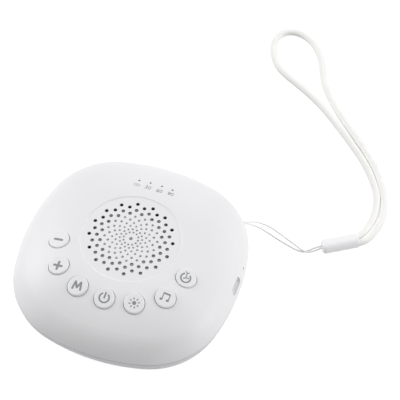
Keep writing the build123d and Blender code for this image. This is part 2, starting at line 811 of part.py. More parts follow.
with BuildPart() as usb_tongue:
    tongue_start = mouth_x - socket_length + socket_back
    with BuildSketch(Plane.YZ.offset(tongue_start)):
        with Locations((0, socket_z)):
            RectangleRounded(tongue_width, tongue_height, tongue_height * 0.3)
    extrude(amount=mouth_x - tongue_inset - tongue_start)
finish(usb_tongue, "usb_tongue")

# ---- speaker ----
with BuildPart() as grille_cloth:
    with BuildSketch(Plane.XY.offset(grille_underside - cloth_thickness)):
        Circle(cloth_radius)
    extrude(amount=cloth_thickness)
finish(grille_cloth, "grille_cloth")

with BuildPart() as speaker_gasket:
    with BuildSketch(Plane.XY.offset(flange_top)):
        Circle(speaker_radius)
        Circle(basket_rim + gasket_step, mode=Mode.SUBTRACT)
    extrude(amount=gasket_thickness)
finish(speaker_gasket, "speaker_gasket")

with BuildPart() as speaker_basket:
    with BuildSketch(Plane.XZ):
        with BuildLine():
            Polyline(
                (basket_rim, flange_top),
                (speaker_radius, flange_top),
                (speaker_radius, flange_low),
                (basket_rim + basket_sheet, flange_low),
                (basket_foot, magnet_seat),
                (basket_mouth, magnet_seat),
                (basket_mouth, magnet_seat + basket_sheet),
                (basket_foot - basket_sheet, magnet_seat + basket_sheet),
                (basket_rim, flange_low),
                close=True,
            )
        make_face()
    revolve(axis=Axis.Z)
    with BuildSketch(Plane.XY.offset(magnet_seat - terminal_thickness)):
        with Locations((terminal_offset, terminal_end)):
            Rectangle(*terminal_size, align=(Align.CENTER, Align.MAX))
    extrude(amount=terminal_thickness)
finish(speaker_basket, "speaker_basket")

plate_low = magnet_seat - top_plate_thickness
magnet_low = plate_low - magnet_height
for ring_name, outer, inner, low, height in (
    ("speaker_top_plate", top_plate_radius, gap_outer, plate_low, top_plate_thickness),
    ("speaker_magnet", magnet_radius, magnet_hole, magnet_low, magnet_height),
    ("voice_coil", coil_outer, coil_inner, magnet_seat - coil_overlap, coil_length),
):
    with BuildPart() as ring:
        with BuildSketch(Plane.XY.offset(low)):
            Circle(outer)
            Circle(inner, mode=Mode.SUBTRACT)
        extrude(amount=height)
    finish(ring, ring_name)

with BuildPart() as speaker_yoke:
    with BuildSketch(Plane.XY.offset(magnet_low - yoke_thickness)):
        Circle(top_plate_radius)
    extrude(amount=yoke_thickness)
    with BuildSketch(Plane.XY.offset(magnet_low)):
        Circle(pole_radius)
    extrude(amount=magnet_seat - magnet_low)
finish(speaker_yoke, "speaker_yoke")

cone_low = magnet_seat - coil_overlap + coil_length
with BuildPart() as speaker_cone:
    with BuildSketch(Plane.XZ):
        with BuildLine():
            Polyline(
                (coil_inner, cone_low),
                (cone_rim, cone_low + cone_rise),
                (cone_rim, cone_low + cone_rise + cone_sheet),
                (coil_inner, cone_low + cone_sheet),
                close=True,
            )
        make_face()
    revolve(axis=Axis.Z)
finish(speaker_cone, "speaker_cone")

cap_foot_z = cone_low + cone_sheet + cone_rise * (cap_radius - coil_inner) / (cone_rim - coil_inner) + cap_sheet
cap_ball = (cap_radius**2 + cap_rise**2) / (2 * cap_rise)
cap_turn = degrees(asin(cap_radius / cap_ball))
with BuildPart() as dust_cap:
    with BuildSketch(Plane.XZ):
        with BuildLine():
            ball_centre = (0, cap_foot_z + cap_rise - cap_ball)
            outside = CenterArc(ball_centre, cap_ball, 90, -cap_turn)
            inside = CenterArc(ball_centre, cap_ball - cap_sheet, 90 - cap_turn, cap_turn)
            Line(outside @ 1, inside @ 0)
            Line(inside @ 1, outside @ 0)
        make_face()
    revolve(axis=Axis.Z)
finish(dust_cap, "speaker_dust_cap")

with BuildPart() as speaker_surround:
    with BuildSketch(Plane.XZ):
        with BuildLine():
            roll_centre = (surround_middle, flange_low)
            outside = CenterArc(roll_centre, surround_outer, 0, 180)
            inside = CenterArc(roll_centre, surround_outer - surround_sheet, 180, -180)
            Line(outside @ 1, inside @ 0)
            Line(inside @ 1, outside @ 0)
        make_face()
    revolve(axis=Axis.Z)
finish(speaker_surround, "speaker_surround")

# ---- screws ----
for screw_name, seat_z, sizes, places in (
    ("base_screws", boss_meet_z - wall, base_screw, base_screw_places),
    ("frame_screws", frame_low, frame_screw, frame_screw_places),
    ("board_screws", board_low, board_screw, board_screw_places),
):
    with BuildPart() as screws:
        with Locations(*places):
            add(screw(seat_z, *sizes))
    finish(screws, screw_name)

with BuildPart() as speaker_screws:
    washer_low = flange_low - washer_thickness
    with PolarLocations(speaker_screw_circle, 3, start_angle=90):
        add(screw(flange_low, speaker_screw_radius, washer_radius, washer_thickness, speaker_screw_length))
finish(speaker_screws, "speaker_screws")

# ---- wires inside the casing ----
# Each pair leaves its piece at right angles, rises past the board's hole and enters its plug from the front.
battery_side = cell_width / 2
battery_middle = battery_z + cell_height / 2
terminal_middle = magnet_seat - terminal_thickness / 2
plug_middle = board_top + plug_height / 2
plug_front = plug_places[0].Y - plug_width / 2
for wire_name, shift in (("battery_wire_red", -wire_spacing / 2), ("battery_wire_black", wire_spacing / 2)):
    start_x = battery_wire_place + shift
    end_x = plug_places[0].X + shift
    with BuildPart() as wire:
        add(cord(
            (
                (start_x, battery_side, battery_middle),
                (start_x, battery_side + 2.3, battery_middle),
                (start_x - 0.1, battery_side + 2.8, battery_middle + 5.5),
                (start_x - 0.4, battery_side + 3.0, board_low - 0.5),
                (start_x - 1.6, battery_side + 5.2, plug_middle - 0.2),
                (end_x + 2.2, plug_front - 7.0, plug_middle + 0.3),
                (end_x, plug_front - 3.0, plug_middle),
                (end_x, plug_front, plug_middle),
            ),
            wire_diameter,
            wire_name,
        ))
    finish(wire, wire_name)

for wire_name, shift in (("speaker_wire_red", -wire_spacing / 2), ("speaker_wire_black", wire_spacing / 2)):
    start_x = terminal_offset + shift
    end_x = plug_places[1].X + shift
    with BuildPart() as wire:
        add(cord(
            (
                (start_x, terminal_end, terminal_middle),
                (start_x, terminal_end + 3.0, terminal_middle),
                (start_x + 2.0, terminal_end + 7.5, plug_middle + 0.4),
                (end_x - 2.0, plug_front - 7.0, plug_middle + 0.5),
                (end_x, plug_front - 3.0, plug_middle),
                (end_x, plug_front, plug_middle),
            ),
            wire_diameter,
            wire_name,
        ))
    finish(wire, wire_name)

# ---- lanyard: post in its pocket, thin string, bead and wrist strap ----
with BuildPart() as lanyard_anchor:
    with BuildSketch(anchor_plane):
        Rectangle(anchor_width, anchor_height)
    extrude(amount=-anchor_depth)
    with BuildSketch(anchor_plane):
        Rectangle(anchor_width - 2 * anchor_wall, anchor_height - 2 * anchor_wall)
    extrude(amount=anchor_back - anchor_depth, mode=Mode.SUBTRACT)
    with BuildSketch(Plane.XY.offset(anchor_z - anchor_height / 2)):
        with Locations(outline_point(135, anchor_inset + anchor_post_inset)):
            Circle(anchor_post_radius)
    extrude(amount=anchor_height)
finish(lanyard_anchor, "lanyard_anchor")

post = outline_point(135, anchor_inset + anchor_post_inset)
outwards = post.normalized()
sideways = Vector(-outwards.Y, outwards.X)
post_turn = anchor_post_radius + string_diameter / 2 + anchor_gap
behind_post = post - outwards * post_turn
floor_z = string_diameter / 2 + 0.02
bead_axis = Vector(1, 0).rotate(Axis.Z, bead_angle)
bead_side = Vector(0, 1).rotate(Axis.Z, bead_angle)
nose = Vector(*bead_nose, bead_height / 2)
mouth = nose + bead_axis * bead_length
string_end = nose + bead_axis * bead_bore_depth


def at(point, height):
    return (point.X, point.Y, height)


string_routes = {
    "lanyard_string_back": (
        at(behind_post, anchor_z),
        at(behind_post + sideways * 0.65, anchor_z),
        at(behind_post + sideways * post_turn + outwards * 0.55, anchor_z),
        at(post + sideways * post_turn + outwards * 0.8, anchor_z),
        at(post + sideways * post_turn * exit_spread + outwards * 3.9, anchor_z),
        (43.0, 42.95, 13.5),
        (44.8, 45.4, 11.6),
        (47.7, 48.8, 8.0),
        (51.9, 51.0, 4.2),
        (57.6, 50.7, 1.6),
        (63.5, 48.7, 0.6),
        (68.6, 46.4, 0.8),
        (71.9, 44.6, 1.4),
        (75.0, 44.2, 1.4),
        (77.8, 45.9, 1.8),
        (80.0, 47.4, 2.8),
        (82.3, 49.06, bead_height / 2),
    ),
    "lanyard_string_front": (
        at(behind_post, anchor_z),
        at(behind_post - sideways * 0.65, anchor_z),
        at(behind_post - sideways * post_turn + outwards * 0.55, anchor_z),
        at(post - sideways * post_turn + outwards * 0.8, anchor_z),
        at(post - sideways * post_turn * exit_spread + outwards * 3.9, anchor_z),
        (43.6, 42.05, 13.3),
        (45.6, 43.9, 11.2),
        (48.6, 46.5, 7.4),
        (52.9, 47.6, 3.4),
        (58.7, 47.0, 0.9),
        (64.5, 45.6, floor_z),
        (69.4, 44.2, floor_z),
        (72.9, 44.4, floor_z),
        (75.4, 46.3, 0.9),
        (77.6, 47.7, 2.0),
        (79.6, 48.5, 2.9),
        (81.85, 49.75, bead_height / 2),
    ),
}
for string_name, route in string_routes.items():
    with BuildPart() as string:
        add(cord(route, string_diameter, string_name))
    finish(string, string_name)

strap_z = strap_diameter / 2 + 0.02
strap_at_mouth = strap_diameter / 2 + 0.05
inner_mouth = mouth + bead_side * strap_at_mouth
outer_mouth = mouth - bead_side * strap_at_mouth
strap_route = (
    at(inner_mouth, bead_height / 2),
    at(inner_mouth + bead_axis * 2.0, bead_height / 2),
    (98.12, 63.14, 2.8),
    (98.85, 67.3, 2.2),
    (99.6, 71.8, strap_z),
    (100.2, 77.2, strap_z),
    (99.3, 84.5, strap_z),
    (96.1, 92.7, strap_z),
    (90.5, 101.6, strap_z),
    (83.0, 110.3, strap_z),
    (74.7, 118.0, strap_z),
    (66.6, 125.4, strap_z),
    (56.8, 133.9, strap_z),
    (46.6, 140.8, strap_z),
    (37.6, 145.7, strap_z),
    (30.6, 149.3, strap_z),
    (25.4, 153.1, strap_z),
    (21.7, 157.9, strap_z),
    (19.1, 163.6, strap_z),
    (17.9, 169.6, strap_z),
    (18.9, 175.2, strap_z),
    (22.4, 179.2, strap_z),
    (27.6, 180.6, strap_z),
    (33.3, 179.1, strap_z),
    (38.8, 175.4, strap_z),
    (43.1, 170.3, strap_z),
    (46.5, 164.2, strap_z),
    (49.1, 157.4, strap_z),
    (52.2, 149.8, strap_z),
    (57.6, 142.0, strap_z),
    (64.5, 134.2, strap_z),
    (71.8, 127.0, strap_z),
    (79.6, 119.2, strap_z),
    (87.4, 111.3, strap_z),
    (94.6, 102.4, strap_z),
    (99.9, 92.9, strap_z),
    (103.1, 84.6, strap_z),
    (104.6, 77.6, strap_z),
    (103.8, 71.9, strap_z),
    (102.5, 67.0, 2.2),
    (101.56, 61.9, 2.8),
    at(outer_mouth + bead_axis * 2.88, bead_height / 2),
    at(outer_mouth, bead_height / 2),
)
with BuildPart() as lanyard_strap:
    add(cord(strap_route, strap_diameter, "lanyard_strap"))
finish(lanyard_strap, "lanyard_strap")

bead_plane = Plane(origin=nose, x_dir=bead_side, z_dir=bead_axis)
with BuildPart() as lanyard_bead:
    with BuildSketch(bead_plane):
        RectangleRounded(bead_width, bead_height, bead_height / 2 - 0.1)
    extrude(amount=bead_length)
    fillet(lanyard_bead.faces().sort_by(Axis(nose, bead_axis))[0].edges(), nose_round)
    fillet(lanyard_bead.faces().sort_by(Axis(nose, bead_axis))[-1].edges(), mouth_round)
    with BuildSketch(bead_plane):
        Circle(bead_bore)
    extrude(amount=bead_bore_depth, mode=Mode.SUBTRACT)
finish(lanyard_bead, "lanyard_bead")
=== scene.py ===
"""Palm-sized white noise machine with a wrist lanyard, dressed in the order in which it is put together.
Metres, +Z up, buttons towards -Y, charging socket towards +X."""

import math

import bmesh
import bpy
from mathutils import Matrix, Vector
from mathutils.bvhtree import BVHTree


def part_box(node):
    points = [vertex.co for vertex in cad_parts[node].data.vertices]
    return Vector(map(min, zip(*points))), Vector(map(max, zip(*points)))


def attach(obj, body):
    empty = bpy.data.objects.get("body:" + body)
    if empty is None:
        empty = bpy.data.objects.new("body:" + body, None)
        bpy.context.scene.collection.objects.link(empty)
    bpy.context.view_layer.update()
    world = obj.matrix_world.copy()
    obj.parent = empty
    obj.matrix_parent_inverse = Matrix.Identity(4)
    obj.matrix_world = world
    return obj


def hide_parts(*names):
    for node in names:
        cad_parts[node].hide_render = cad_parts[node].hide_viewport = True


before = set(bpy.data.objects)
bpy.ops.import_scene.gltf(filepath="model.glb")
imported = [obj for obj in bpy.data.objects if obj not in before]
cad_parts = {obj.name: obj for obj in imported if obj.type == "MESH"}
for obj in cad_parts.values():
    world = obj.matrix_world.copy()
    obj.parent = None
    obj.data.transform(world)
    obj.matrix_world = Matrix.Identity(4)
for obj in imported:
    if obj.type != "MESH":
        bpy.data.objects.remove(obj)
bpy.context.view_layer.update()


# ---- camera ----
# A long lens looks down on the table from the side with the buttons, turned a little towards the socket.
CAMERA_PLACE = (0.14839, -0.34255, 0.59437)
CAMERA_TURNS = [("Z", 18.544), ("X", 35.339), ("Z", 1.033)]  # degrees: about the table, down on it, its roll
CAMERA_LENS = 129.8
CAMERA_SENSOR = 36  # mm, as the lens

camera = bpy.data.objects.new("camera", bpy.data.cameras.new("camera"))
camera.data.sensor_width = CAMERA_SENSOR
camera.data.lens = CAMERA_LENS
placed = Matrix.Translation(CAMERA_PLACE)
for axis, degrees in CAMERA_TURNS:
    placed = placed @ Matrix.Rotation(math.radians(degrees), 4, axis)
camera.matrix_world = placed
bpy.context.scene.collection.objects.link(camera)
bpy.context.scene.camera = camera
bpy.context.scene.view_settings.view_transform = "Standard"


# ---- table and light ----
# A pale matt table in a light room, between large soft lamps: a strong one on the left, weaker ones behind
# and low on the right. Rays of view see the table almost pure white, with the machine's faint shadow; rays
# that light the machine see the grey that a real table sends back.
TABLE_HALF = 4.0
TABLE_GREY = 0.47
TABLE_GLOW = 0.83
LAMPS = {
    "lamp_left": {"place": (-1.35, 0.2, 0.9), "size": 1.0, "power": 14.2},
    "lamp_behind": {"place": (1.05, 1.05, 0.6), "size": 1.0, "power": 7.8},
    "lamp_right": {"place": (1.5, 0.1, 0.55), "size": 0.7, "power": 6.6},
}
LAMP_AIM = (0.02, 0.02, 0)
SKY = 0.49  # what lights the machine; rays of view that leave the table see pure white


class Link:
    """One output socket; arithmetic on it adds Math nodes, so that shader maths reads as expressions."""

    def __init__(self, finish, socket):
        self.finish = finish
        self.socket = socket

    def maths(self, operation, *values):
        return self.finish.node("Math", {"operation": operation}, dict(enumerate(values)))

    def __add__(self, other):
        return self.maths("ADD", self, other)

    def __sub__(self, other):
        return self.maths("SUBTRACT", self, other)

    def __rsub__(self, other):
        return self.maths("SUBTRACT", other, self)

    def __mul__(self, other):
        return self.maths("MULTIPLY", self, other)

    def __truediv__(self, other):
        return self.maths("DIVIDE", self, other)

    def __abs__(self):
        return self.maths("ABSOLUTE", self)

    def sine(self):
        return self.maths("SINE", self)

    def fold(self):
        """Rises from 0 to 1 over each whole step of the value."""
        return self.maths("FRACT", self)

    def over(self, limit):
        """1 where the value is above the limit, 0 elsewhere."""
        return self.maths("GREATER_THAN", self, limit)

    def under(self, limit):
        return self.maths("LESS_THAN", self, limit)


class Finish:
    """A material in the making: its shader, and the one way to add any other node to it."""

    def __init__(self, owner):
        self.owner = owner
        owner.use_nodes = True
        self.tree = owner.node_tree

    def feed(self, socket, value):
        if isinstance(value, Link):
            self.tree.links.new(value.socket, socket)
        elif hasattr(socket.default_value, "__len__") and len(socket.default_value) == 4:
            socket.default_value = (*value, 1.0)
        else:
            socket.default_value = value

    def node(self, kind, settings=None, inputs=None, output=0):
        made = self.tree.nodes.new("ShaderNode" + kind)
        for name, value in (settings or {}).items():
            if name == "stops":
                while len(made.color_ramp.elements) < len(value):
                    made.color_ramp.elements.new(0.5)
                for stop, (position, colour) in zip(made.color_ramp.elements, value):
                    stop.position = position
                    stop.color = (*colour, 1.0)
            else:
                setattr(made, name, value)
        for place, value in (inputs or {}).items():
            self.feed(made.inputs[place], value)
        return Link(self, made.outputs[output]) if made.outputs else None

    def part(self, vector, axis):
        return self.node("SeparateXYZ", inputs={0: vector}, output=axis)

    def from_middle(self, place):
        """How far a place lies from the upright line through the middle of the casing."""
        flat = self.node("VectorMath", {"operation": "MULTIPLY"}, {0: place, 1: (1, 1, 0)})
        return self.node("VectorMath", {"operation": "LENGTH"}, {0: flat}, output="Value")

    def shade(self, **sockets):
        """Feeds the shader's own sockets, a space in a socket's name written as an underscore."""
        shader = self.tree.nodes["Principled BSDF"]
        for name, value in sockets.items():
            self.feed(shader.inputs[name.replace("_", " ")], value)


def pale_table():
    finish = Finish(bpy.data.materials.new("pale_table"))
    finish.tree.nodes.clear()
    matt = finish.node("BsdfDiffuse", inputs={"Color": (TABLE_GREY,) * 3})
    glow = finish.node("Emission", inputs={"Color": (1, 1, 1), "Strength": TABLE_GLOW})
    lit = finish.node("AddShader", inputs={0: matt, 1: glow})
    seen = finish.node("LightPath", output="Is Camera Ray")
    gleam = finish.node("LightPath", output="Is Glossy Ray")
    through = finish.node("LightPath", output="Is Transmission Ray")
    viewed = (seen + gleam + through).over(0.5)
    mixed = finish.node("MixShader", inputs={0: viewed, 1: matt, 2: lit})
    finish.node("OutputMaterial", inputs={"Surface": mixed})
    return finish.owner


def link(name, data):
    piece = bpy.data.objects.new(name, data)
    bpy.context.scene.collection.objects.link(piece)
    return piece


table_mesh = bpy.data.meshes.new("table")
table_corners = [(-1, -1), (1, -1), (1, 1), (-1, 1)]
table_mesh.from_pydata([(x * TABLE_HALF, y * TABLE_HALF, 0) for x, y in table_corners], [], [(0, 1, 2, 3)])
table_mesh.materials.append(pale_table())
link("table", table_mesh)

for lamp_name, lamp in LAMPS.items():
    light = bpy.data.lights.new(lamp_name, "AREA")
    light.shape = "DISK"
    light.size = lamp["size"]
    light.energy = lamp["power"]
    aim = Vector(LAMP_AIM) - Vector(lamp["place"])
    turned = aim.to_track_quat("-Z", "Y").to_matrix().to_4x4()
    link(lamp_name, light).matrix_world = Matrix.Translation(lamp["place"]) @ turned

sky = Finish(bpy.data.worlds.new("sky"))
sky.tree.nodes.clear()
sky_level = sky.node("LightPath", output="Is Camera Ray") * (1 - SKY) + SKY
sky_glow = sky.node("Background", inputs={"Color": (1, 1, 1), "Strength": sky_level})
sky.node("OutputWorld", inputs={"Surface": sky_glow})
bpy.context.scene.world = sky.owner


# ---- lanyard string ----
# A thin bleached cord of three twisted plies. It goes round the post in the casing's corner, and its two
# strands lie on the table and end in the nose of the bead.
STRING_THICK = 0.00095
STRING_PLIES = 3
STRING_TWIST = 0.0021  # from one ply to the next along the string
STRING_ROUTES = {
    "lanyard_string_back": [
        (0.03717, 0.03717, 0.01400), (0.03671, 0.03762, 0.01400), (0.03671, 0.03840, 0.01400),
        (0.03773, 0.03943, 0.01400), (0.04048, 0.04107, 0.01460), (0.04300, 0.04295, 0.01380),
        (0.04480, 0.04540, 0.01160), (0.04770, 0.04880, 0.00800), (0.05190, 0.05100, 0.00420),
        (0.05760, 0.05070, 0.00160), (0.06350, 0.04870, 0.00060), (0.06860, 0.04640, 0.00080),
        (0.07190, 0.04460, 0.00140), (0.07500, 0.04420, 0.00140), (0.07780, 0.04590, 0.00180),
        (0.08000, 0.04740, 0.00280), (0.08230, 0.04906, 0.00320),
    ],
    "lanyard_string_front": [
        (0.03717, 0.03717, 0.01400), (0.03762, 0.03671, 0.01400), (0.03840, 0.03671, 0.01400),
        (0.03943, 0.03773, 0.01400), (0.04107, 0.04048, 0.01480), (0.04360, 0.04205, 0.01410),
        (0.04560, 0.04390, 0.01160), (0.04860, 0.04650, 0.00740), (0.05290, 0.04760, 0.00340),
        (0.05870, 0.04700, 0.00090), (0.06450, 0.04560, 0.00050), (0.06940, 0.04420, 0.00050),
        (0.07290, 0.04440, 0.00050), (0.07540, 0.04630, 0.00090), (0.07760, 0.04770, 0.00200),
        (0.07960, 0.04850, 0.00290), (0.08185, 0.04975, 0.00320),
    ],
}
STRING_SIDES = 12  # of each ring of the tube
STRING_STEP = 0.00022  # from ring to ring
STRING_DIP = 0.06  # of the radius, between the plies
LINE_STEPS = 24  # along a route's line, from one of its points to the next


def nurbs_line(route, step):
    """Points a step apart along the NURBS line of a cord's route, each with how far along it lies."""
    curve = bpy.data.curves.new("route", "CURVE")
    curve.dimensions = "3D"
    spline = curve.splines.new("NURBS")
    spline.points.add(len(route) - 1)
    for held, point in zip(spline.points, route):
        held.co = (*point, 1)
    spline.order_u = 3
    spline.use_endpoint_u = True
    spline.resolution_u = LINE_STEPS
    holder = bpy.data.objects.new("route", curve)
    mesh = bpy.data.meshes.new_from_object(holder)
    fine = [vertex.co.copy() for vertex in mesh.vertices]
    bpy.data.objects.remove(holder)
    bpy.data.meshes.remove(mesh)
    reached = [0.0]
    for before, after in zip(fine, fine[1:]):
        reached.append(reached[-1] + (after - before).length)
    count = round(reached[-1] / step)
    line = []
    span = 0
    for index in range(count + 1):
        along = reached[-1] * index / count
        while span < len(fine) - 2 and reached[span + 1] < along:
            span += 1
        share = (along - reached[span]) / (reached[span + 1] - reached[span])
        line.append((fine[span].lerp(fine[span + 1], share), along))
    return line


def tube(name, line, sides, section, finish):
    """A closed tube on a line. section(along, turn) gives how far a point of the skin lies across and up, and
    the UV map holds the turn, from 0 to 1, and the metres along."""
    form = bmesh.new()
    wrap = form.loops.layers.uv.new("wrap")
    rings = []
    for index, (centre, along) in enumerate(line):
        behind = line[max(0, index - 1)][0]
        ahead = line[min(len(line) - 1, index + 1)][0]
        forward = (ahead - behind).normalized()
        across = forward.cross(Vector((0, 0, 1))).normalized()
        upward = across.cross(forward)
        ring = []
        for side in range(sides):
            over, up = section(along, side / sides)
            ring.append(form.verts.new(centre + across * over + upward * up))
        rings.append((ring, along))
    for (first, start), (second, stop) in zip(rings, rings[1:]):
        for side in range(sides):
            beside = (side + 1) % sides
            face = form.faces.new((first[side], second[side], second[beside], first[beside]))
            marks = ((side, start), (side, stop), (side + 1, stop), (side + 1, start))
            for corner, (turn, along) in zip(face.loops, marks):
                corner[wrap].uv = (turn / sides, along)
            face.smooth = True
    form.faces.new(rings[0][0])
    form.faces.new(rings[-1][0][::-1])
    bmesh.ops.recalc_face_normals(form, faces=form.faces)
    mesh = bpy.data.meshes.new(name)
    form.to_mesh(mesh)
    form.free()
    mesh.materials.append(finish)
    return link(name, mesh)


def string_section(along, turn):
    """The skin bulges at each ply and dips between them."""
    ply = turn * STRING_PLIES - along / STRING_TWIST
    radius = STRING_THICK / 2 * (1 - STRING_DIP + STRING_DIP * abs(math.sin(math.pi * ply)))
    angle = 2 * math.pi * turn
    return radius * math.cos(angle), radius * math.sin(angle)


def string_yarn():
    """Bleached yarn with fine fibres; painted shade makes it a little darker between the plies."""
    finish = Finish(bpy.data.materials.new("string_yarn"))
    wrap = finish.node("UVMap", {"uv_map": "wrap"})
    turn = finish.part(wrap, "X")
    along = finish.part(wrap, "Y")
    crown = abs(((turn * STRING_PLIES - along / STRING_TWIST) * math.pi).sine())
    place = finish.node("TexCoord", output="Object")
    fibres = finish.node("TexNoise", inputs={"Vector": place, "Scale": 5200.0, "Detail": 3.0})
    height = crown * 0.75 + fibres * 0.25
    tones = [(0.0, (0.91, 0.91, 0.91)), (0.5, (0.96, 0.96, 0.96)), (1.0, (0.99, 0.99, 0.99))]
    finish.shade(
        Base_Color=finish.node("ValToRGB", {"stops": tones}, {"Fac": height}),
        Roughness=0.85,
        Sheen_Weight=0.2,
        Normal=finish.node("Bump", inputs={"Height": height, "Distance": 0.00006, "Strength": 0.3}),
    )
    return finish.owner


yarn = string_yarn()
for node_name, route in STRING_ROUTES.items():
    line = nurbs_line(route, STRING_STEP)
    strand = tube(node_name.replace("lanyard", "twisted"), line, STRING_SIDES, string_section, yarn)
    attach(strand, "casing")
    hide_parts(node_name)


# ---- lanyard strap ----
# A soft round braid of eight carriers each way over a loose core. Both its ends are glued side by side into
# the mouth of the bead, and the loop lies flat on the table.
STRAP_WIDE = 0.0038
STRAP_PINCH = 0.90  # of that in the mouth of the bead
STRAP_EASE = 0.03  # and it takes so far to come back to its full width
STRAP_FLAT = 0.925  # height for width, as it settles under its own weight
STRAP_CARRIERS = 8
STRAP_PITCH = 0.0019  # from one crossing of the carriers to the next along the strap
STRAP_RELIEF = 0.0001  # from the corners of the braid to its crowns
STRAP_FILAMENTS = 9  # lines of filament in each carrier
STRAP_SIDES = 64
STRAP_STEP = 0.00032
STRAP_ROUTE = [  # its two legs come down from the mouth of the bead in closer points than the loop has
    (0.09518, 0.05990, 0.00320), (0.09688, 0.06181, 0.00315), (0.09826, 0.06502, 0.00290),
    (0.09921, 0.06865, 0.00255), (0.09994, 0.07318, 0.00220), (0.09998, 0.07782, 0.00195),
    (0.09942, 0.08302, 0.00180), (0.09832, 0.08798, 0.00177), (0.09610, 0.09273, 0.00177),
    (0.09610, 0.09270, 0.00177), (0.09050, 0.10160, 0.00177), (0.08300, 0.11030, 0.00177),
    (0.07470, 0.11800, 0.00177), (0.06660, 0.12540, 0.00177), (0.05680, 0.13390, 0.00177),
    (0.04660, 0.14080, 0.00177), (0.03760, 0.14570, 0.00177), (0.03060, 0.14930, 0.00177),
    (0.02540, 0.15310, 0.00177), (0.02170, 0.15790, 0.00177), (0.01910, 0.16360, 0.00177),
    (0.01790, 0.16960, 0.00177), (0.01890, 0.17520, 0.00177), (0.02240, 0.17920, 0.00177),
    (0.02760, 0.18060, 0.00177), (0.03330, 0.17910, 0.00177), (0.03880, 0.17540, 0.00177),
    (0.04310, 0.17030, 0.00177), (0.04650, 0.16420, 0.00177), (0.04910, 0.15740, 0.00177),
    (0.05220, 0.14980, 0.00177), (0.05760, 0.14200, 0.00177), (0.06450, 0.13420, 0.00177),
    (0.07180, 0.12700, 0.00177), (0.07960, 0.11920, 0.00177), (0.08740, 0.11130, 0.00177),
    (0.09460, 0.10240, 0.00177), (0.09990, 0.09290, 0.00177), (0.09991, 0.09294, 0.00177),
    (0.10170, 0.08879, 0.00177), (0.10307, 0.08417, 0.00180), (0.10404, 0.07887, 0.00195),
    (0.10423, 0.07352, 0.00220), (0.10367, 0.06882, 0.00255), (0.10259, 0.06444, 0.00290),
    (0.10101, 0.06080, 0.00310), (0.09915, 0.05825, 0.00320), (0.09712, 0.05686, 0.00320),
]

strap_line = nurbs_line(STRAP_ROUTE, STRAP_STEP)
strap_length = strap_line[-1][1]


def braid_height(along, turn):
    """How high the carrier on top stands, from 0 in the corner of a crossing to 1 on its crown."""
    leading = turn * STRAP_CARRIERS + along / STRAP_PITCH
    crossing = turn * STRAP_CARRIERS - along / STRAP_PITCH
    upper = 0.5 + 0.5 * math.sin(math.pi * leading) * math.sin(math.pi * crossing)
    lead_crown = abs(math.sin(math.pi * leading))
    cross_crown = abs(math.sin(math.pi * crossing))
    return upper * lead_crown + (1 - upper) * cross_crown


def strap_section(along, turn):
    eased = min(1, along / STRAP_EASE, (strap_length - along) / STRAP_EASE)
    wide = STRAP_WIDE * (STRAP_PINCH + (1 - STRAP_PINCH) * eased * eased * (3 - 2 * eased))
    radius = wide / 2 - STRAP_RELIEF * (1 - braid_height(along, turn))
    angle = 2 * math.pi * turn
    return radius * math.cos(angle), radius * STRAP_FLAT * math.sin(angle)


def strap_braid():
    """Warm white yarn with the fine lines of its filaments; painted shade makes it darker in the corners of
    the braid.
    """
    finish = Finish(bpy.data.materials.new("strap_braid"))
    wrap = finish.node("UVMap", {"uv_map": "wrap"})
    turn = finish.part(wrap, "X")
    along = finish.part(wrap, "Y")
    leading = turn * STRAP_CARRIERS + along / STRAP_PITCH
    crossing = turn * STRAP_CARRIERS - along / STRAP_PITCH
    crowns = abs((leading * math.pi).sine()) * 0.5 + abs((crossing * math.pi).sine()) * 0.5
    lead_lines = (leading * STRAP_FILAMENTS * math.pi).sine()
    cross_lines = (crossing * STRAP_FILAMENTS * math.pi).sine()
    filaments = lead_lines * cross_lines
    place = finish.node("TexCoord", output="Object")
    fuzz = finish.node("TexNoise", inputs={"Vector": place, "Scale": 2600.0, "Detail": 4.0})
    height = crowns * 0.62 + filaments * 0.08 + fuzz * 0.30
    tones = [(0.1, (0.88, 0.875, 0.85)), (0.5, (0.96, 0.955, 0.935)), (0.9, (0.98, 0.975, 0.955))]
    finish.shade(
        Base_Color=finish.node("ValToRGB", {"stops": tones}, {"Fac": height}),
        Roughness=0.9,
        Sheen_Weight=0.2,
        Normal=finish.node("Bump", inputs={"Height": height, "Distance": 0.0001, "Strength": 0.5}),
    )
    return finish.owner


strap = tube("braided_strap", strap_line, STRAP_SIDES, strap_section, strap_braid())
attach(strap, "casing")
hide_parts("lanyard_strap")


# ---- white mouldings ----
# Upper casing, lower cover, string pocket, bead and button caps: injection moulded plastic with the fine
# grain of a spark-eroded tool. The bead is polished, the lower cover is coarser than the top.
ROUGH_SPREAD = 0.12  # between the pits of the grain and its tops


def dress(material, node_names):
    for node_name in node_names:
        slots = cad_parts[node_name].data.materials
        slots.clear()
        slots.append(material)


def moulded(name, colour, roughness, node_names, grain=3400.0, depth=0.00002, drift=0.012, **sockets):
    """Moulded plastic: an even grain, and a tone that drifts a little as thick walls cool."""
    finish = Finish(bpy.data.materials.new(name))
    place = finish.node("TexCoord", output="Object")
    cooling = finish.node("TexNoise", inputs={"Vector": place, "Scale": 24.0, "Detail": 2.0})
    tones = [(0.3, [c * (1 - drift) for c in colour]), (0.7, [c * (1 + drift) for c in colour])]
    pits = finish.node("TexNoise", inputs={"Vector": place, "Scale": grain, "Detail": 2.0})
    finish.shade(
        Base_Color=finish.node("ValToRGB", {"stops": tones}, {"Fac": cooling}),
        Roughness=pits * ROUGH_SPREAD + (roughness - ROUGH_SPREAD / 2),
        Normal=finish.node("Bump", inputs={"Height": pits, "Distance": depth, "Strength": 0.5}),
        **sockets,
    )
    dress(finish.owner, node_names)
    return finish.owner


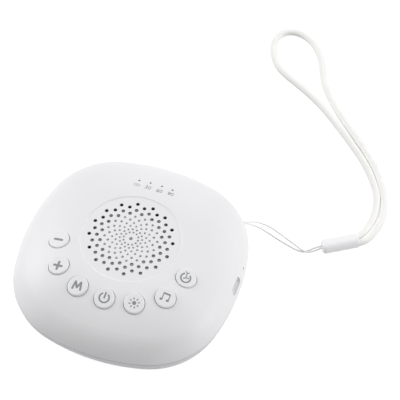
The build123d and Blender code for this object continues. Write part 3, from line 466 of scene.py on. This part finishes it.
def paint_shade(owner, where, tone):
    """Paints shade on a moulding: darkens it to a share of its colour wherever where(radius, height) is 1."""
    finish = Finish(owner)
    ramp = finish.tree.nodes["Color Ramp"]
    place = finish.node("TexCoord", output="Object")
    height = finish.part(place, "Z")
    radius = finish.from_middle(place)
    dark = [c * tone for c in ramp.color_ramp.elements[0].color[:3]]
    finish.shade(Base_Color=finish.node("Mix", {"data_type": "RGBA"}, {
        0: where(radius, height), 6: Link(finish, ramp.outputs[0]), 7: dark,
    }, output=2))


GRILLE_TOP = 0.03785  # just under the face of the pierced plate
GRILLE_RADIUS = 0.0207
LARGE_HOLES = 0.0133  # the large holes lie outside this radius
HOLE_SHADE_TONE = 0.35  # of the casing's colour: painted shade on the walls of the large holes

keys = sorted(name.removeprefix("button_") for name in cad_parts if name.startswith("button_"))
casing = moulded("casing_plastic", (0.862, 0.860, 0.876), 0.46, ["upper_shell"])
# Painted shade: the walls of the large holes of the grille are darkened under the face of the plate.
paint_shade(casing, lambda radius, height: (
    height.under(GRILLE_TOP) * radius.under(GRILLE_RADIUS) * radius.over(LARGE_HOLES)
), HOLE_SHADE_TONE)
moulded("cover_plastic", (0.842, 0.840, 0.856), 0.56, ["base_cover", "lanyard_anchor"],
        grain=2400.0, depth=0.00003)
moulded("cap_plastic", (0.872, 0.870, 0.886), 0.42, ["button_" + key for key in keys])
moulded("bead_plastic", (0.97, 0.96, 0.975), 0.30, ["lanyard_bead"], grain=900.0, depth=0.000004)


# ---- glowing ring ----
# The lower casing is a thick milky moulding that spreads the lamps' light; light sinks into it and comes
# out a little bluer, and its face is finer than the casing's.
SEAM_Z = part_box("upper_shell")[0].z
SEAM_SHADE_WIDE = 0.0007
SEAM_SHADE_TONE = 0.80  # of the ring's colour: painted shade in the corner under the upper casing's edge

milky = moulded(
    "milky_plastic", (0.83, 0.83, 0.875), 0.5, ["light_ring"], grain=5200.0, depth=0.000008, drift=0.008,
    Subsurface_Weight=0.2, Subsurface_Radius=(0.003, 0.003, 0.0036), Subsurface_Scale=1.0,
)
# Painted shade: a dark line on the ring just under the upper casing's edge.
paint_shade(milky, lambda radius, height: height.over(SEAM_Z - SEAM_SHADE_WIDE), SEAM_SHADE_TONE)


# ---- clear guides ----
# Polished pins that lead the light of the chip lamps out through the pinholes. Their near-black colour is
# painted
# shade: it stands for the dark inside of the casing, seen through them while the lamps are off.
moulded(
    "clear_guide", (0.012, 0.013, 0.015), 0.30, ["light_guides", "charge_guide"],
    grain=600.0, depth=0.000003, drift=0.004, Transmission_Weight=0.1, Specular_IOR_Level=0.15, IOR=1.49,
)


# ---- frame inside ----
# Grey moulded frame that closes the upper casing and carries the skirt for the lamps.
moulded("frame_plastic", (0.60, 0.61, 0.63), 0.55, ["inner_frame"], grain=1800.0, depth=0.00004, drift=0.03)


# ---- rubber feet ----
# Four pressed rubber pads glued into the lower cover; matt, with a dusting of talc.
def foot_rubber():
    finish = Finish(bpy.data.materials.new("foot_rubber"))
    place = finish.node("TexCoord", output="Object")
    dust = finish.node("TexNoise", inputs={"Vector": place, "Scale": 180.0, "Detail": 5.0})
    pores = finish.node("TexVoronoi", inputs={"Vector": place, "Scale": 1500.0})
    tones = [(0.35, (0.40, 0.41, 0.43)), (0.75, (0.44, 0.45, 0.47))]
    finish.shade(
        Base_Color=finish.node("ValToRGB", {"stops": tones}, {"Fac": dust}),
        Roughness=dust * 0.2 + 0.62,
        Normal=finish.node("Bump", inputs={"Height": pores, "Distance": 0.00003, "Strength": 0.4}),
    )
    dress(finish.owner, ["rubber_feet"])


foot_rubber()


# ---- screws and plates ----
# Small steel parts with a zinc plating, brushed by the barrel that they were tumbled in.
SCRATCHES = (420.0, 420.0, 5040.0)  # finer upwards, so that the lines run level


def plated(name, colour, roughness, node_names, **sockets):
    finish = Finish(bpy.data.materials.new(name))
    place = finish.node("TexCoord", output="Object")
    drawn = finish.node("Mapping", inputs={"Vector": place, "Scale": SCRATCHES})
    lines = finish.node("TexNoise", inputs={"Vector": drawn, "Scale": 1.0, "Detail": 4.0})
    cloud = finish.node("TexNoise", inputs={"Vector": place, "Scale": 160.0, "Detail": 3.0})
    tones = [(0.3, [c * 0.86 for c in colour]), (0.7, colour)]
    finish.shade(
        Base_Color=finish.node("ValToRGB", {"stops": tones}, {"Fac": cloud}),
        Metallic=1.0,
        Roughness=lines * 0.22 + (roughness - 0.1),
        Normal=finish.node("Bump", inputs={"Height": lines, "Distance": 0.00001, "Strength": 0.4}),
        **sockets,
    )
    dress(finish.owner, node_names)


plated("zinc_plate", (0.62, 0.63, 0.65), 0.34, [
    "base_screws", "frame_screws", "board_screws", "speaker_screws", "speaker_top_plate", "speaker_yoke",
])


# ---- charging socket ----
# A rolled steel shell with a satin nickel plating, round a black tongue with gold contacts on both faces.
CONTACT_PITCH = 0.0005
CONTACT_SHARE = 0.56  # of the pitch that is metal
CONTACT_ROW = 0.0056  # width of the row of contacts
LEVEL_FACE = 0.7  # the least upward or downward share of the normal of a face that bears contacts
MOUTH_PAINTED_LIGHT = 0.14  # painted light: the shell glows a little, for the light that scatters in it

# Painted light: the shell of the socket glows though it is no lamp.
plated(
    "satin_nickel", (0.98, 0.975, 0.97), 0.62, ["usb_socket"],
    Emission_Color=(1.0, 1.0, 1.0), Emission_Strength=MOUTH_PAINTED_LIGHT,
)


def contact_tongue():
    finish = Finish(bpy.data.materials.new("contact_tongue"))
    place = finish.node("TexCoord", output="Object")
    across = finish.part(place, "Y")
    facing = finish.part(finish.node("NewGeometry", output="Normal"), "Z")
    stripes = abs((across / CONTACT_PITCH).fold() - 0.5).under(CONTACT_SHARE / 2)
    metal = stripes * abs(across).under(CONTACT_ROW / 2) * abs(facing).over(LEVEL_FACE)
    grain = finish.node("TexNoise", inputs={"Vector": place, "Scale": 4000.0})
    tones = [(0.0, (0.018, 0.018, 0.02)), (1.0, (0.80, 0.58, 0.28))]
    finish.shade(
        Base_Color=finish.node("ValToRGB", {"stops": tones}, {"Fac": metal}),
        Metallic=metal,
        Roughness=grain * 0.2 + 0.28,
        Normal=finish.node("Bump", inputs={"Height": metal, "Distance": 0.00003, "Strength": 0.5}),
    )
    dress(finish.owner, ["usb_tongue"])


contact_tongue()


# ---- grille cloth ----
# A disc of fine black acoustic mesh, plain woven, glued behind the pierced plate against dust. It is open
# enough for the speaker to show through.
MESH_PITCH = 0.0004
MESH_THREAD = 0.00003


def woven_cloth():
    finish = Finish(bpy.data.materials.new("acoustic_cloth"))
    place = finish.node("TexCoord", output="Object")
    across = finish.part(place, "X")
    along = finish.part(place, "Y")
    warp = abs((across / MESH_PITCH).fold() - 0.5).under(MESH_THREAD / MESH_PITCH / 2)
    weft = abs((along / MESH_PITCH).fold() - 0.5).under(MESH_THREAD / MESH_PITCH / 2)
    fluff = finish.node("TexNoise", inputs={"Vector": place, "Scale": 3000.0, "Detail": 3.0})
    tones = [(0.3, (0.004, 0.004, 0.004)), (1.0, (0.028, 0.028, 0.030))]
    finish.shade(
        Base_Color=finish.node("ValToRGB", {"stops": tones}, {"Fac": fluff}),
        Roughness=0.9,
        Alpha=warp.maths("MAXIMUM", warp, weft),
        Normal=finish.node("Bump", inputs={"Height": fluff, "Distance": 0.00003, "Strength": 0.6}),
    )
    dress(finish.owner, ["grille_cloth"])


woven_cloth()


# ---- foam ----
# Open dark foam: a ring that seals the speaker to the casing, and a pad that beds the battery.
def open_foam():
    finish = Finish(bpy.data.materials.new("open_foam"))
    place = finish.node("TexCoord", output="Object")
    cells = finish.node("TexVoronoi", inputs={"Vector": place, "Scale": 2400.0})
    tones = [(0.0, (0.012, 0.012, 0.013)), (0.7, (0.10, 0.10, 0.11))]
    finish.shade(
        Base_Color=finish.node("ValToRGB", {"stops": tones}, {"Fac": cells}),
        Roughness=0.95,
        Normal=finish.node("Bump", inputs={"Height": cells, "Distance": 0.00015, "Strength": 0.9}),
    )
    dress(finish.owner, ["speaker_gasket", "battery_foam"])


open_foam()


# ---- speaker ----
# A small driver: black lacquered basket, cone and cap of pale pressed paper, a soft roll that is coated pale
# as far as its crown, enamelled coil, sintered magnet. Cone, cap and coated roll glow a little with painted
# light.
CAVITY_PAINTED_LIGHT = 0.21  # painted light: the glow of the cone and the coated roll, for the light that scatters between the grille and the pale cone
CONE_RINGS = 0.0012  # from one pressed ring of the cone to the next
COATED_RADIUS = 0.0192
WINDING_PITCH = 0.00018


def lacquered_basket():
    finish = Finish(bpy.data.materials.new("black_lacquer"))
    place = finish.node("TexCoord", output="Object")
    peel = finish.node("TexNoise", inputs={"Vector": place, "Scale": 700.0, "Detail": 2.0})
    cloud = finish.node("TexNoise", inputs={"Vector": place, "Scale": 60.0, "Detail": 3.0})
    tones = [(0.3, (0.012, 0.012, 0.013)), (0.7, (0.022, 0.022, 0.024))]
    finish.shade(
        Base_Color=finish.node("ValToRGB", {"stops": tones}, {"Fac": cloud}),
        Roughness=peel * 0.2 + 0.28,
        Normal=finish.node("Bump", inputs={"Height": peel, "Distance": 0.00004, "Strength": 0.4}),
    )
    dress(finish.owner, ["speaker_basket"])


def pressed_paper():
    """Pale pulp pressed in a ribbed tool: fibres lie every way over faint rings. It glows a little with
    painted light.
    """
    finish = Finish(bpy.data.materials.new("pressed_paper"))
    place = finish.node("TexCoord", output="Object")
    radius = finish.from_middle(place)
    rings = (radius * (2 * math.pi / CONE_RINGS)).sine() * 0.5 + 0.5
    pulp = finish.node("TexNoise", inputs={"Vector": place, "Scale": 1400.0, "Detail": 6.0})
    height = rings * 0.4 + pulp * 0.6
    tones = [(0.2, (0.58, 0.58, 0.58)), (0.8, (0.72, 0.72, 0.72))]
    finish.shade(
        Base_Color=finish.node("ValToRGB", {"stops": tones}, {"Fac": pulp}),
        Emission_Color=(1.0, 1.0, 1.0),
        Emission_Strength=CAVITY_PAINTED_LIGHT,
        Roughness=0.88,
        Normal=finish.node("Bump", inputs={"Height": height, "Distance": 0.00008, "Strength": 0.6}),
    )
    dress(finish.owner, ["speaker_cone", "speaker_dust_cap"])


def coated_roll():
    """Dark soft rubber, coated pale as far as the crown of the roll; the coated part glows a little with
    painted light.
    """
    finish = Finish(bpy.data.materials.new("coated_roll"))
    place = finish.node("TexCoord", output="Object")
    radius = finish.from_middle(place)
    coated = radius.under(COATED_RADIUS)
    pores = finish.node("TexVoronoi", inputs={"Vector": place, "Scale": 2600.0})
    tones = [(0.0, (0.035, 0.035, 0.037)), (1.0, (0.60, 0.60, 0.60))]
    painted_glow_tones = [(0.0, (0, 0, 0)), (1.0, (1, 1, 1))]
    finish.shade(
        Base_Color=finish.node("ValToRGB", {"stops": tones}, {"Fac": coated}),
        Emission_Color=finish.node("ValToRGB", {"stops": painted_glow_tones}, {"Fac": coated}),
        Emission_Strength=CAVITY_PAINTED_LIGHT,
        Roughness=pores * 0.2 + 0.55,
        Normal=finish.node("Bump", inputs={"Height": pores, "Distance": 0.00003, "Strength": 0.4}),
    )
    dress(finish.owner, ["speaker_surround"])


def enamelled_winding():
    finish = Finish(bpy.data.materials.new("enamelled_wire"))
    place = finish.node("TexCoord", output="Object")
    height = finish.part(place, "Z")
    turns = abs((height * (math.pi / WINDING_PITCH)).sine())
    # Painted shade: the copper is darker in the grooves between the turns.
    tones = [(0.0, (0.16, 0.05, 0.02)), (1.0, (0.62, 0.28, 0.12))]
    finish.shade(
        Base_Color=finish.node("ValToRGB", {"stops": tones}, {"Fac": turns}),
        Metallic=1.0,
        Roughness=turns * 0.1 + 0.28,
        Normal=finish.node("Bump", inputs={"Height": turns, "Distance": 0.00006, "Strength": 0.7}),
    )
    dress(finish.owner, ["voice_coil"])


def sintered_magnet():
    finish = Finish(bpy.data.materials.new("sintered_ferrite"))
    place = finish.node("TexCoord", output="Object")
    grit = finish.node("TexNoise", inputs={"Vector": place, "Scale": 900.0, "Detail": 6.0})
    tones = [(0.3, (0.035, 0.035, 0.038)), (0.7, (0.085, 0.085, 0.09))]
    finish.shade(
        Base_Color=finish.node("ValToRGB", {"stops": tones}, {"Fac": grit}),
        Roughness=grit * 0.3 + 0.45,
        Normal=finish.node("Bump", inputs={"Height": grit, "Distance": 0.00005, "Strength": 0.6}),
    )
    dress(finish.owner, ["speaker_magnet"])


lacquered_basket()
pressed_paper()
coated_roll()
enamelled_winding()
sintered_magnet()


# ---- circuit board ----
# Glass fibre board under a green solder mask, with copper tracks that show lighter through the mask and
# tinned pads; black moulded chips, push switches and ivory plugs stand on it.
TRACK_PITCH = 0.0011
TRACK_HALF = 0.16  # of the pitch
PAD_PITCH = 0.0027
PAD_SIZE = 0.035  # radius squared, of the pitch
PAD_RARITY = 0.58  # the noise above which a pad is there


def masked_board():
    finish = Finish(bpy.data.materials.new("green_board"))
    place = finish.node("TexCoord", output="Object")
    across = finish.part(place, "X")
    along = finish.part(place, "Y")
    region = finish.node("TexVoronoi", inputs={"Vector": place, "Scale": 90.0}, output="Color")
    side = finish.part(region, "X").over(0.5)
    lengthwise = abs((across / TRACK_PITCH).fold() - 0.5).under(TRACK_HALF)
    crosswise = abs((along / TRACK_PITCH).fold() - 0.5).under(TRACK_HALF)
    tracks = lengthwise * side + crosswise * (1 - side)
    pad_across = (across / PAD_PITCH).fold() - 0.5
    pad_along = (along / PAD_PITCH).fold() - 0.5
    chosen = finish.node("TexNoise", inputs={"Vector": place, "Scale": 170.0}).over(PAD_RARITY)
    pads = (pad_across * pad_across + pad_along * pad_along).under(PAD_SIZE) * chosen
    mask = finish.node("Mix", {"data_type": "RGBA"}, {
        0: tracks, 6: (0.020, 0.125, 0.055), 7: (0.045, 0.21, 0.09),
    }, output=2)
    colour = finish.node("Mix", {"data_type": "RGBA"}, {0: pads, 6: mask, 7: (0.68, 0.68, 0.66)}, output=2)
    finish.shade(
        Base_Color=colour,
        Metallic=pads,
        Roughness=pads * 0.1 + 0.28,
        Normal=finish.node("Bump", inputs={"Height": tracks + pads, "Distance": 0.00004, "Strength": 0.6}),
    )
    dress(finish.owner, ["main_board"])


masked_board()
moulded("chip_epoxy", (0.022, 0.022, 0.024), 0.50, ["board_chips"], grain=5000.0, drift=0.1)
moulded("switch_plastic", (0.035, 0.035, 0.038), 0.42, ["switch_bodies"], grain=2600.0, drift=0.1)
moulded("plunger_plastic", (0.16, 0.09, 0.055), 0.38, ["plunger_" + key for key in keys], grain=2600.0)
moulded(
    "plug_nylon", (0.78, 0.74, 0.62), 0.44, ["battery_plug", "speaker_plug"], grain=2000.0, drift=0.02,
    Subsurface_Weight=0.15, Subsurface_Radius=(0.001, 0.0009, 0.0007), Subsurface_Scale=1.0,
)


# ---- lamps ----
# Chip lamps under drops of clear gel that glows yellow by its phosphor; the twelve for the ring stand on a
# white flexible strip with two copper rails.
RAIL_HALF = 0.0004


def lamp_gel():
    finish = Finish(bpy.data.materials.new("phosphor_gel"))
    place = finish.node("TexCoord", output="Object")
    grains = finish.node("TexNoise", inputs={"Vector": place, "Scale": 2200.0, "Detail": 4.0})
    tones = [(0.3, (0.80, 0.58, 0.13)), (0.7, (0.90, 0.74, 0.26))]
    finish.shade(
        Base_Color=finish.node("ValToRGB", {"stops": tones}, {"Fac": grains}),
        Roughness=grains * 0.1 + 0.16,
        Coat_Weight=0.5,
        Normal=finish.node("Bump", inputs={"Height": grains, "Distance": 0.00002, "Strength": 0.3}),
    )
    dress(finish.owner, ["strip_lamps", "indicator_lamps", "charge_lamp"])


def flexible_strip():
    finish = Finish(bpy.data.materials.new("flexible_strip"))
    low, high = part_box("light_strip")
    rail_gap = (high.z - low.z) / 4
    place = finish.node("TexCoord", output="Object")
    height = finish.part(place, "Z") - (low.z + high.z) / 2
    rails = abs(abs(height) - rail_gap).under(RAIL_HALF)
    sheen = finish.node("TexNoise", inputs={"Vector": place, "Scale": 700.0, "Detail": 2.0})
    tones = [(0.0, (0.84, 0.83, 0.79)), (1.0, (0.70, 0.55, 0.40))]
    finish.shade(
        Base_Color=finish.node("ValToRGB", {"stops": tones}, {"Fac": rails}),
        Roughness=sheen * 0.2 + 0.3,
        Normal=finish.node("Bump", inputs={"Height": rails, "Distance": 0.00003, "Strength": 0.5}),
    )
    dress(finish.owner, ["light_strip"])


lamp_gel()
flexible_strip()


# ---- battery and wires ----
# A flat cell in a pouch of laminated foil, drawn tight so that it wrinkles a little, with amber tape over
# the seam by its wires. The wires have soft coloured sleeves.
TAPE_WIDE = 0.005


def foil_pouch():
    finish = Finish(bpy.data.materials.new("foil_pouch"))
    low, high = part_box("battery")
    place = finish.node("TexCoord", output="Object")
    across = finish.part(place, "X")
    tape = across.over(high.x - TAPE_WIDE)
    wrinkles = finish.node("TexNoise", inputs={
        "Vector": place, "Scale": 130.0, "Detail": 5.0, "Distortion": 0.8,
    })
    emboss = finish.node("TexVoronoi", inputs={"Vector": place, "Scale": 1500.0})
    tones = [(0.0, (0.66, 0.67, 0.69)), (1.0, (0.62, 0.30, 0.04))]
    finish.shade(
        Base_Color=finish.node("ValToRGB", {"stops": tones}, {"Fac": tape}),
        Metallic=1 - tape,
        Roughness=wrinkles * 0.25 + 0.22,
        Normal=finish.node("Bump", inputs={
            "Height": wrinkles * 0.8 + emboss * 0.2, "Distance": 0.0002, "Strength": 0.6,
        }),
    )
    dress(finish.owner, ["battery"])


foil_pouch()
moulded("red_sleeve", (0.50, 0.02, 0.018), 0.34, ["battery_wire_red", "speaker_wire_red"],
        grain=900.0, depth=0.00001, drift=0.05)
moulded("black_sleeve", (0.018, 0.018, 0.018), 0.34, ["battery_wire_black", "speaker_wire_black"],
        grain=900.0, depth=0.00001, drift=0.1)


# ---- printed symbols on the buttons ----
# Pad printed in grey ink, one pass per cap: a film of ink lies on the flat top of each button and moves
# with it. Every stroke is printed a hair over the one before.
INK_FILM = 0.00003
INK_OVERLAP = 0.000002
INK_SUNK = 0.00002  # the film starts this far inside the surface, so that no light gets under it
ROUND_STEPS = 10  # along a quarter of a dot, or along the round end of a stroke
ARC_STEP = 8  # degrees along an arc
ARC_LEAST = 8  # steps along the shortest arc
MM = 0.001  # the outlines of symbols, figures and pinhole shade dots are drawn in mm


def printed_ink(name, colour):
    finish = Finish(bpy.data.materials.new(name))
    place = finish.node("TexCoord", output="Object")
    cover = finish.node("TexNoise", inputs={"Vector": place, "Scale": 2600.0, "Detail": 3.0})
    tones = [(0.3, [c * 1.12 for c in colour]), (0.7, [c * 0.92 for c in colour])]
    finish.shade(
        Base_Color=finish.node("ValToRGB", {"stops": tones}, {"Fac": cover}),
        Roughness=cover * 0.15 + 0.42,
        Normal=finish.node("Bump", inputs={"Height": cover, "Distance": 0.000004, "Strength": 0.4}),
    )
    return finish.owner


def stroke(start, end, width):
    """Outline of a straight stroke with round ends."""
    ahead = Vector(end) - Vector(start)
    turn = math.atan2(ahead.y, ahead.x)
    outline = []
    for centre, first in ((Vector(end), turn - math.pi / 2), (Vector(start), turn + math.pi / 2)):
        for step in range(ROUND_STEPS + 1):
            angle = first + math.pi * step / ROUND_STEPS
            outline.append(centre + Vector((math.cos(angle), math.sin(angle))) * (width / 2))
    return outline


def sweep(centre, radius, width, begin, end):
    """Outline of a stroke along an arc, from one angle in degrees round to another."""
    steps = max(ARC_LEAST, round(abs(end - begin) / ARC_STEP))
    angles = [math.radians(begin + (end - begin) * step / steps) for step in range(steps + 1)]
    outer = [Vector((math.cos(a), math.sin(a))) * (radius + width / 2) for a in angles]
    inner = [Vector((math.cos(a), math.sin(a))) * (radius - width / 2) for a in reversed(angles)]
    return [point + Vector(centre) for point in outer + inner]


def dot(centre, across, high=None, tilt=0.0):
    """Outline of a filled round or oval mark."""
    outline = []
    for step in range(4 * ROUND_STEPS):
        angle = math.pi * step / (2 * ROUND_STEPS)
        point = Vector((math.cos(angle) * across / 2, math.sin(angle) * (high or across) / 2))
        outline.append(Vector(centre) + Matrix.Rotation(math.radians(tilt), 2) @ point)
    return outline


def ink_film(name, outlines, lay, finish, body):
    """A thin closed film for each outline, given in mm; lay(point, height) puts it on its surface."""
    form = bmesh.new()
    for index, outline in enumerate(outlines):
        top = INK_FILM + INK_OVERLAP * index
        upper = [form.verts.new(lay(point * MM, top)) for point in outline]
        lower = [form.verts.new(lay(point * MM, -INK_SUNK)) for point in outline]
        form.faces.new(upper)
        form.faces.new(lower[::-1])
        for place in range(len(outline)):
            beside = (place + 1) % len(outline)
            form.faces.new((upper[beside], upper[place], lower[place], lower[beside]))
    bmesh.ops.recalc_face_normals(form, faces=form.faces)
    bmesh.ops.triangulate(form, faces=[face for face in form.faces if len(face.verts) > 4])
    mesh = bpy.data.meshes.new(name)
    form.to_mesh(mesh)
    form.free()
    mesh.materials.append(finish)
    film = link(name, mesh)
    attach(film, body)
    return film


def rays(count, inner, outer, width, first):
    """Outlines of strokes that stand round a middle."""
    marks = []
    for index in range(count):
        angle = math.radians(first + 360 * index / count)
        ahead = Vector((math.cos(angle), math.sin(angle)))
        marks.append(stroke(ahead * inner, ahead * outer, width))
    return marks


# The marks of each symbol, in mm from the middle of its cap.
SYMBOLS = {
    "minus": [stroke((-1.85, -0.3), (1.85, -0.3), 1.1)],
    "plus": [stroke((-1.85, -0.5), (1.85, -0.5), 1.1), stroke((0, -2.35), (0, 1.35), 1.1)],
    "mode": [
        stroke((-1.95, -1.75), (-1.35, 1.75), 0.9), stroke((-1.35, 1.75), (0, -1.0), 0.9),
        stroke((0, -1.0), (1.35, 1.75), 0.9), stroke((1.35, 1.75), (1.95, -1.75), 0.9),
    ],
    "power": [sweep((0, 0), 2.26, 0.73, 122, 418), stroke((0, 0), (0, 2.5), 0.73)],
    "light": [dot((0, 0), 1.85)] + rays(8, 1.85, 2.35, 0.52, 22.5),
    "music": [
        stroke((-1.35, -1.25), (-1.35, 1.95), 0.45), stroke((1.65, -1.1), (1.65, 1.95), 0.45),
        stroke((-1.25, 1.8), (1.5, 1.8), 0.8), dot((-1.7, -1.35), 1.4, 1.15, 20),
        dot((1.3, -1.2), 1.4, 1.15, 20),
    ],
    "timer": [
        sweep((-0.3, -0.3), 2.25, 0.7, 118, 412), stroke((-0.3, 0.4), (-0.3, 2.15), 0.45),
        stroke((-0.3, 2.15), (-1.15, 2.75), 0.42), stroke((-0.3, 2.15), (0.45, 2.65), 0.42),
        stroke((-0.15, -0.1), (-1.15, -0.9), 0.5), stroke((-0.15, -0.1), (1.0, -0.1), 0.5),
    ],
}


FACES_UP = 0.7  # the least upward share of a top face's normal
RIM_SLACK = 0.000002


def flat_top(node_name):
    """Centre, rightward, upward and outward directions of the flat top face of a cap."""
    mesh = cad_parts[node_name].data
    largest = max((face for face in mesh.polygons if face.normal.z > FACES_UP), key=lambda face: face.area)
    outward = largest.normal.copy()
    level = largest.center.dot(outward)
    rightward = Vector((0, 1, 0)).cross(outward).normalized()
    upward = outward.cross(rightward)
    rim = [vertex.co for vertex in mesh.vertices if abs(vertex.co.dot(outward) - level) < RIM_SLACK]
    middle = [
        (min(point.dot(axis) for point in rim) + max(point.dot(axis) for point in rim)) / 2
        for axis in (rightward, upward)
    ]
    centre = rightward * middle[0] + upward * middle[1] + outward * level
    return centre, rightward, upward, outward


button_ink = printed_ink("button_ink", (0.27, 0.275, 0.285))
for key, outlines in SYMBOLS.items():
    centre, rightward, upward, outward = flat_top("button_" + key)

    def on_cap(point, height):
        return centre + rightward * point.x + upward * point.y + outward * height

    ink_film("symbol_" + key, outlines, on_cap, button_ink, "key_" + key)


# ---- printed hours of the timer ----
# Small figures under the four timer lamps, printed straight onto the dome in a thinner grey ink. Places and
# sizes are in mm, places from the middle of the casing; the endless sign is two rings side by side.
FIGURES = {"endless": (-8.5, 30.2), "30": (-2.9, 30.3), "60": (2.9, 30.2), "90": (8.5, 30.4)}
FIGURE_SIZE = 3.1
FIGURE_WEIGHT = 0.002  # of the size, added all round the strokes
FIGURE_STEPS = 4  # along each curve of a glyph
LOOP_RADIUS = 0.70
LOOP_STROKE = 0.26
OVER_CASING = 0.1  # where the search for the casing's surface starts

shell = BVHTree.FromPolygons(
    [vertex.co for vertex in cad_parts["upper_shell"].data.vertices],
    [face.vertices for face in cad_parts["upper_shell"].data.polygons],
)


def on_dome(point, height):
    """The point of the casing under a place in plan, lifted along the surface's normal."""
    hit, normal, face, distance = shell.ray_cast(Vector((point.x, point.y, OVER_CASING)), Vector((0, 0, -1)))
    return hit + normal * height


def figure_outlines(text, place):
    """The pieces that the font cuts its glyphs into, each as an outline of its own."""
    curve = bpy.data.curves.new(text, "FONT")
    curve.body = text
    curve.size = FIGURE_SIZE
    curve.offset = FIGURE_WEIGHT * FIGURE_SIZE
    curve.align_x = "CENTER"
    curve.align_y = "CENTER"
    curve.resolution_u = FIGURE_STEPS
    holder = bpy.data.objects.new(text, curve)
    mesh = bpy.data.meshes.new_from_object(holder)
    outlines = [
        [mesh.vertices[index].co.to_2d() + Vector(place) for index in face.vertices] for face in mesh.polygons
    ]
    bpy.data.objects.remove(holder)
    bpy.data.meshes.remove(mesh)
    return outlines


figure_ink = printed_ink("figure_ink", (0.41, 0.415, 0.425))
for text, place in FIGURES.items():
    if text == "endless":
        middle = Vector(place)
        outlines = [
            sweep(middle + Vector((side * LOOP_RADIUS, 0)), LOOP_RADIUS, LOOP_STROKE, start, start + 360)
            for side, start in ((-1, 0), (1, 180))
        ]
    else:
        outlines = figure_outlines(text, place)
    ink_film("figure_" + text, outlines, on_dome, figure_ink, "casing")


# ---- painted shade in the pinholes of the timer lamps ----
# A dot of dark film over each pinhole and the tip of its guide is painted shade, for the dark of the pinhole.
# Sizes and places in mm.
PINHOLE_SHADE_ACROSS = 0.88
PINHOLE_SHADES = [(-8.433, 33.326), (-2.893, 33.744), (2.893, 33.744), (8.433, 33.326)]

# Painted shade: dark dots over the pinholes of the timer lamps.
ink_film(
    "pinhole_shade_dots", [dot(place, PINHOLE_SHADE_ACROSS) for place in PINHOLE_SHADES], on_dome,
    printed_ink("pinhole_shade_ink", (0.030, 0.030, 0.032)), "casing",
)
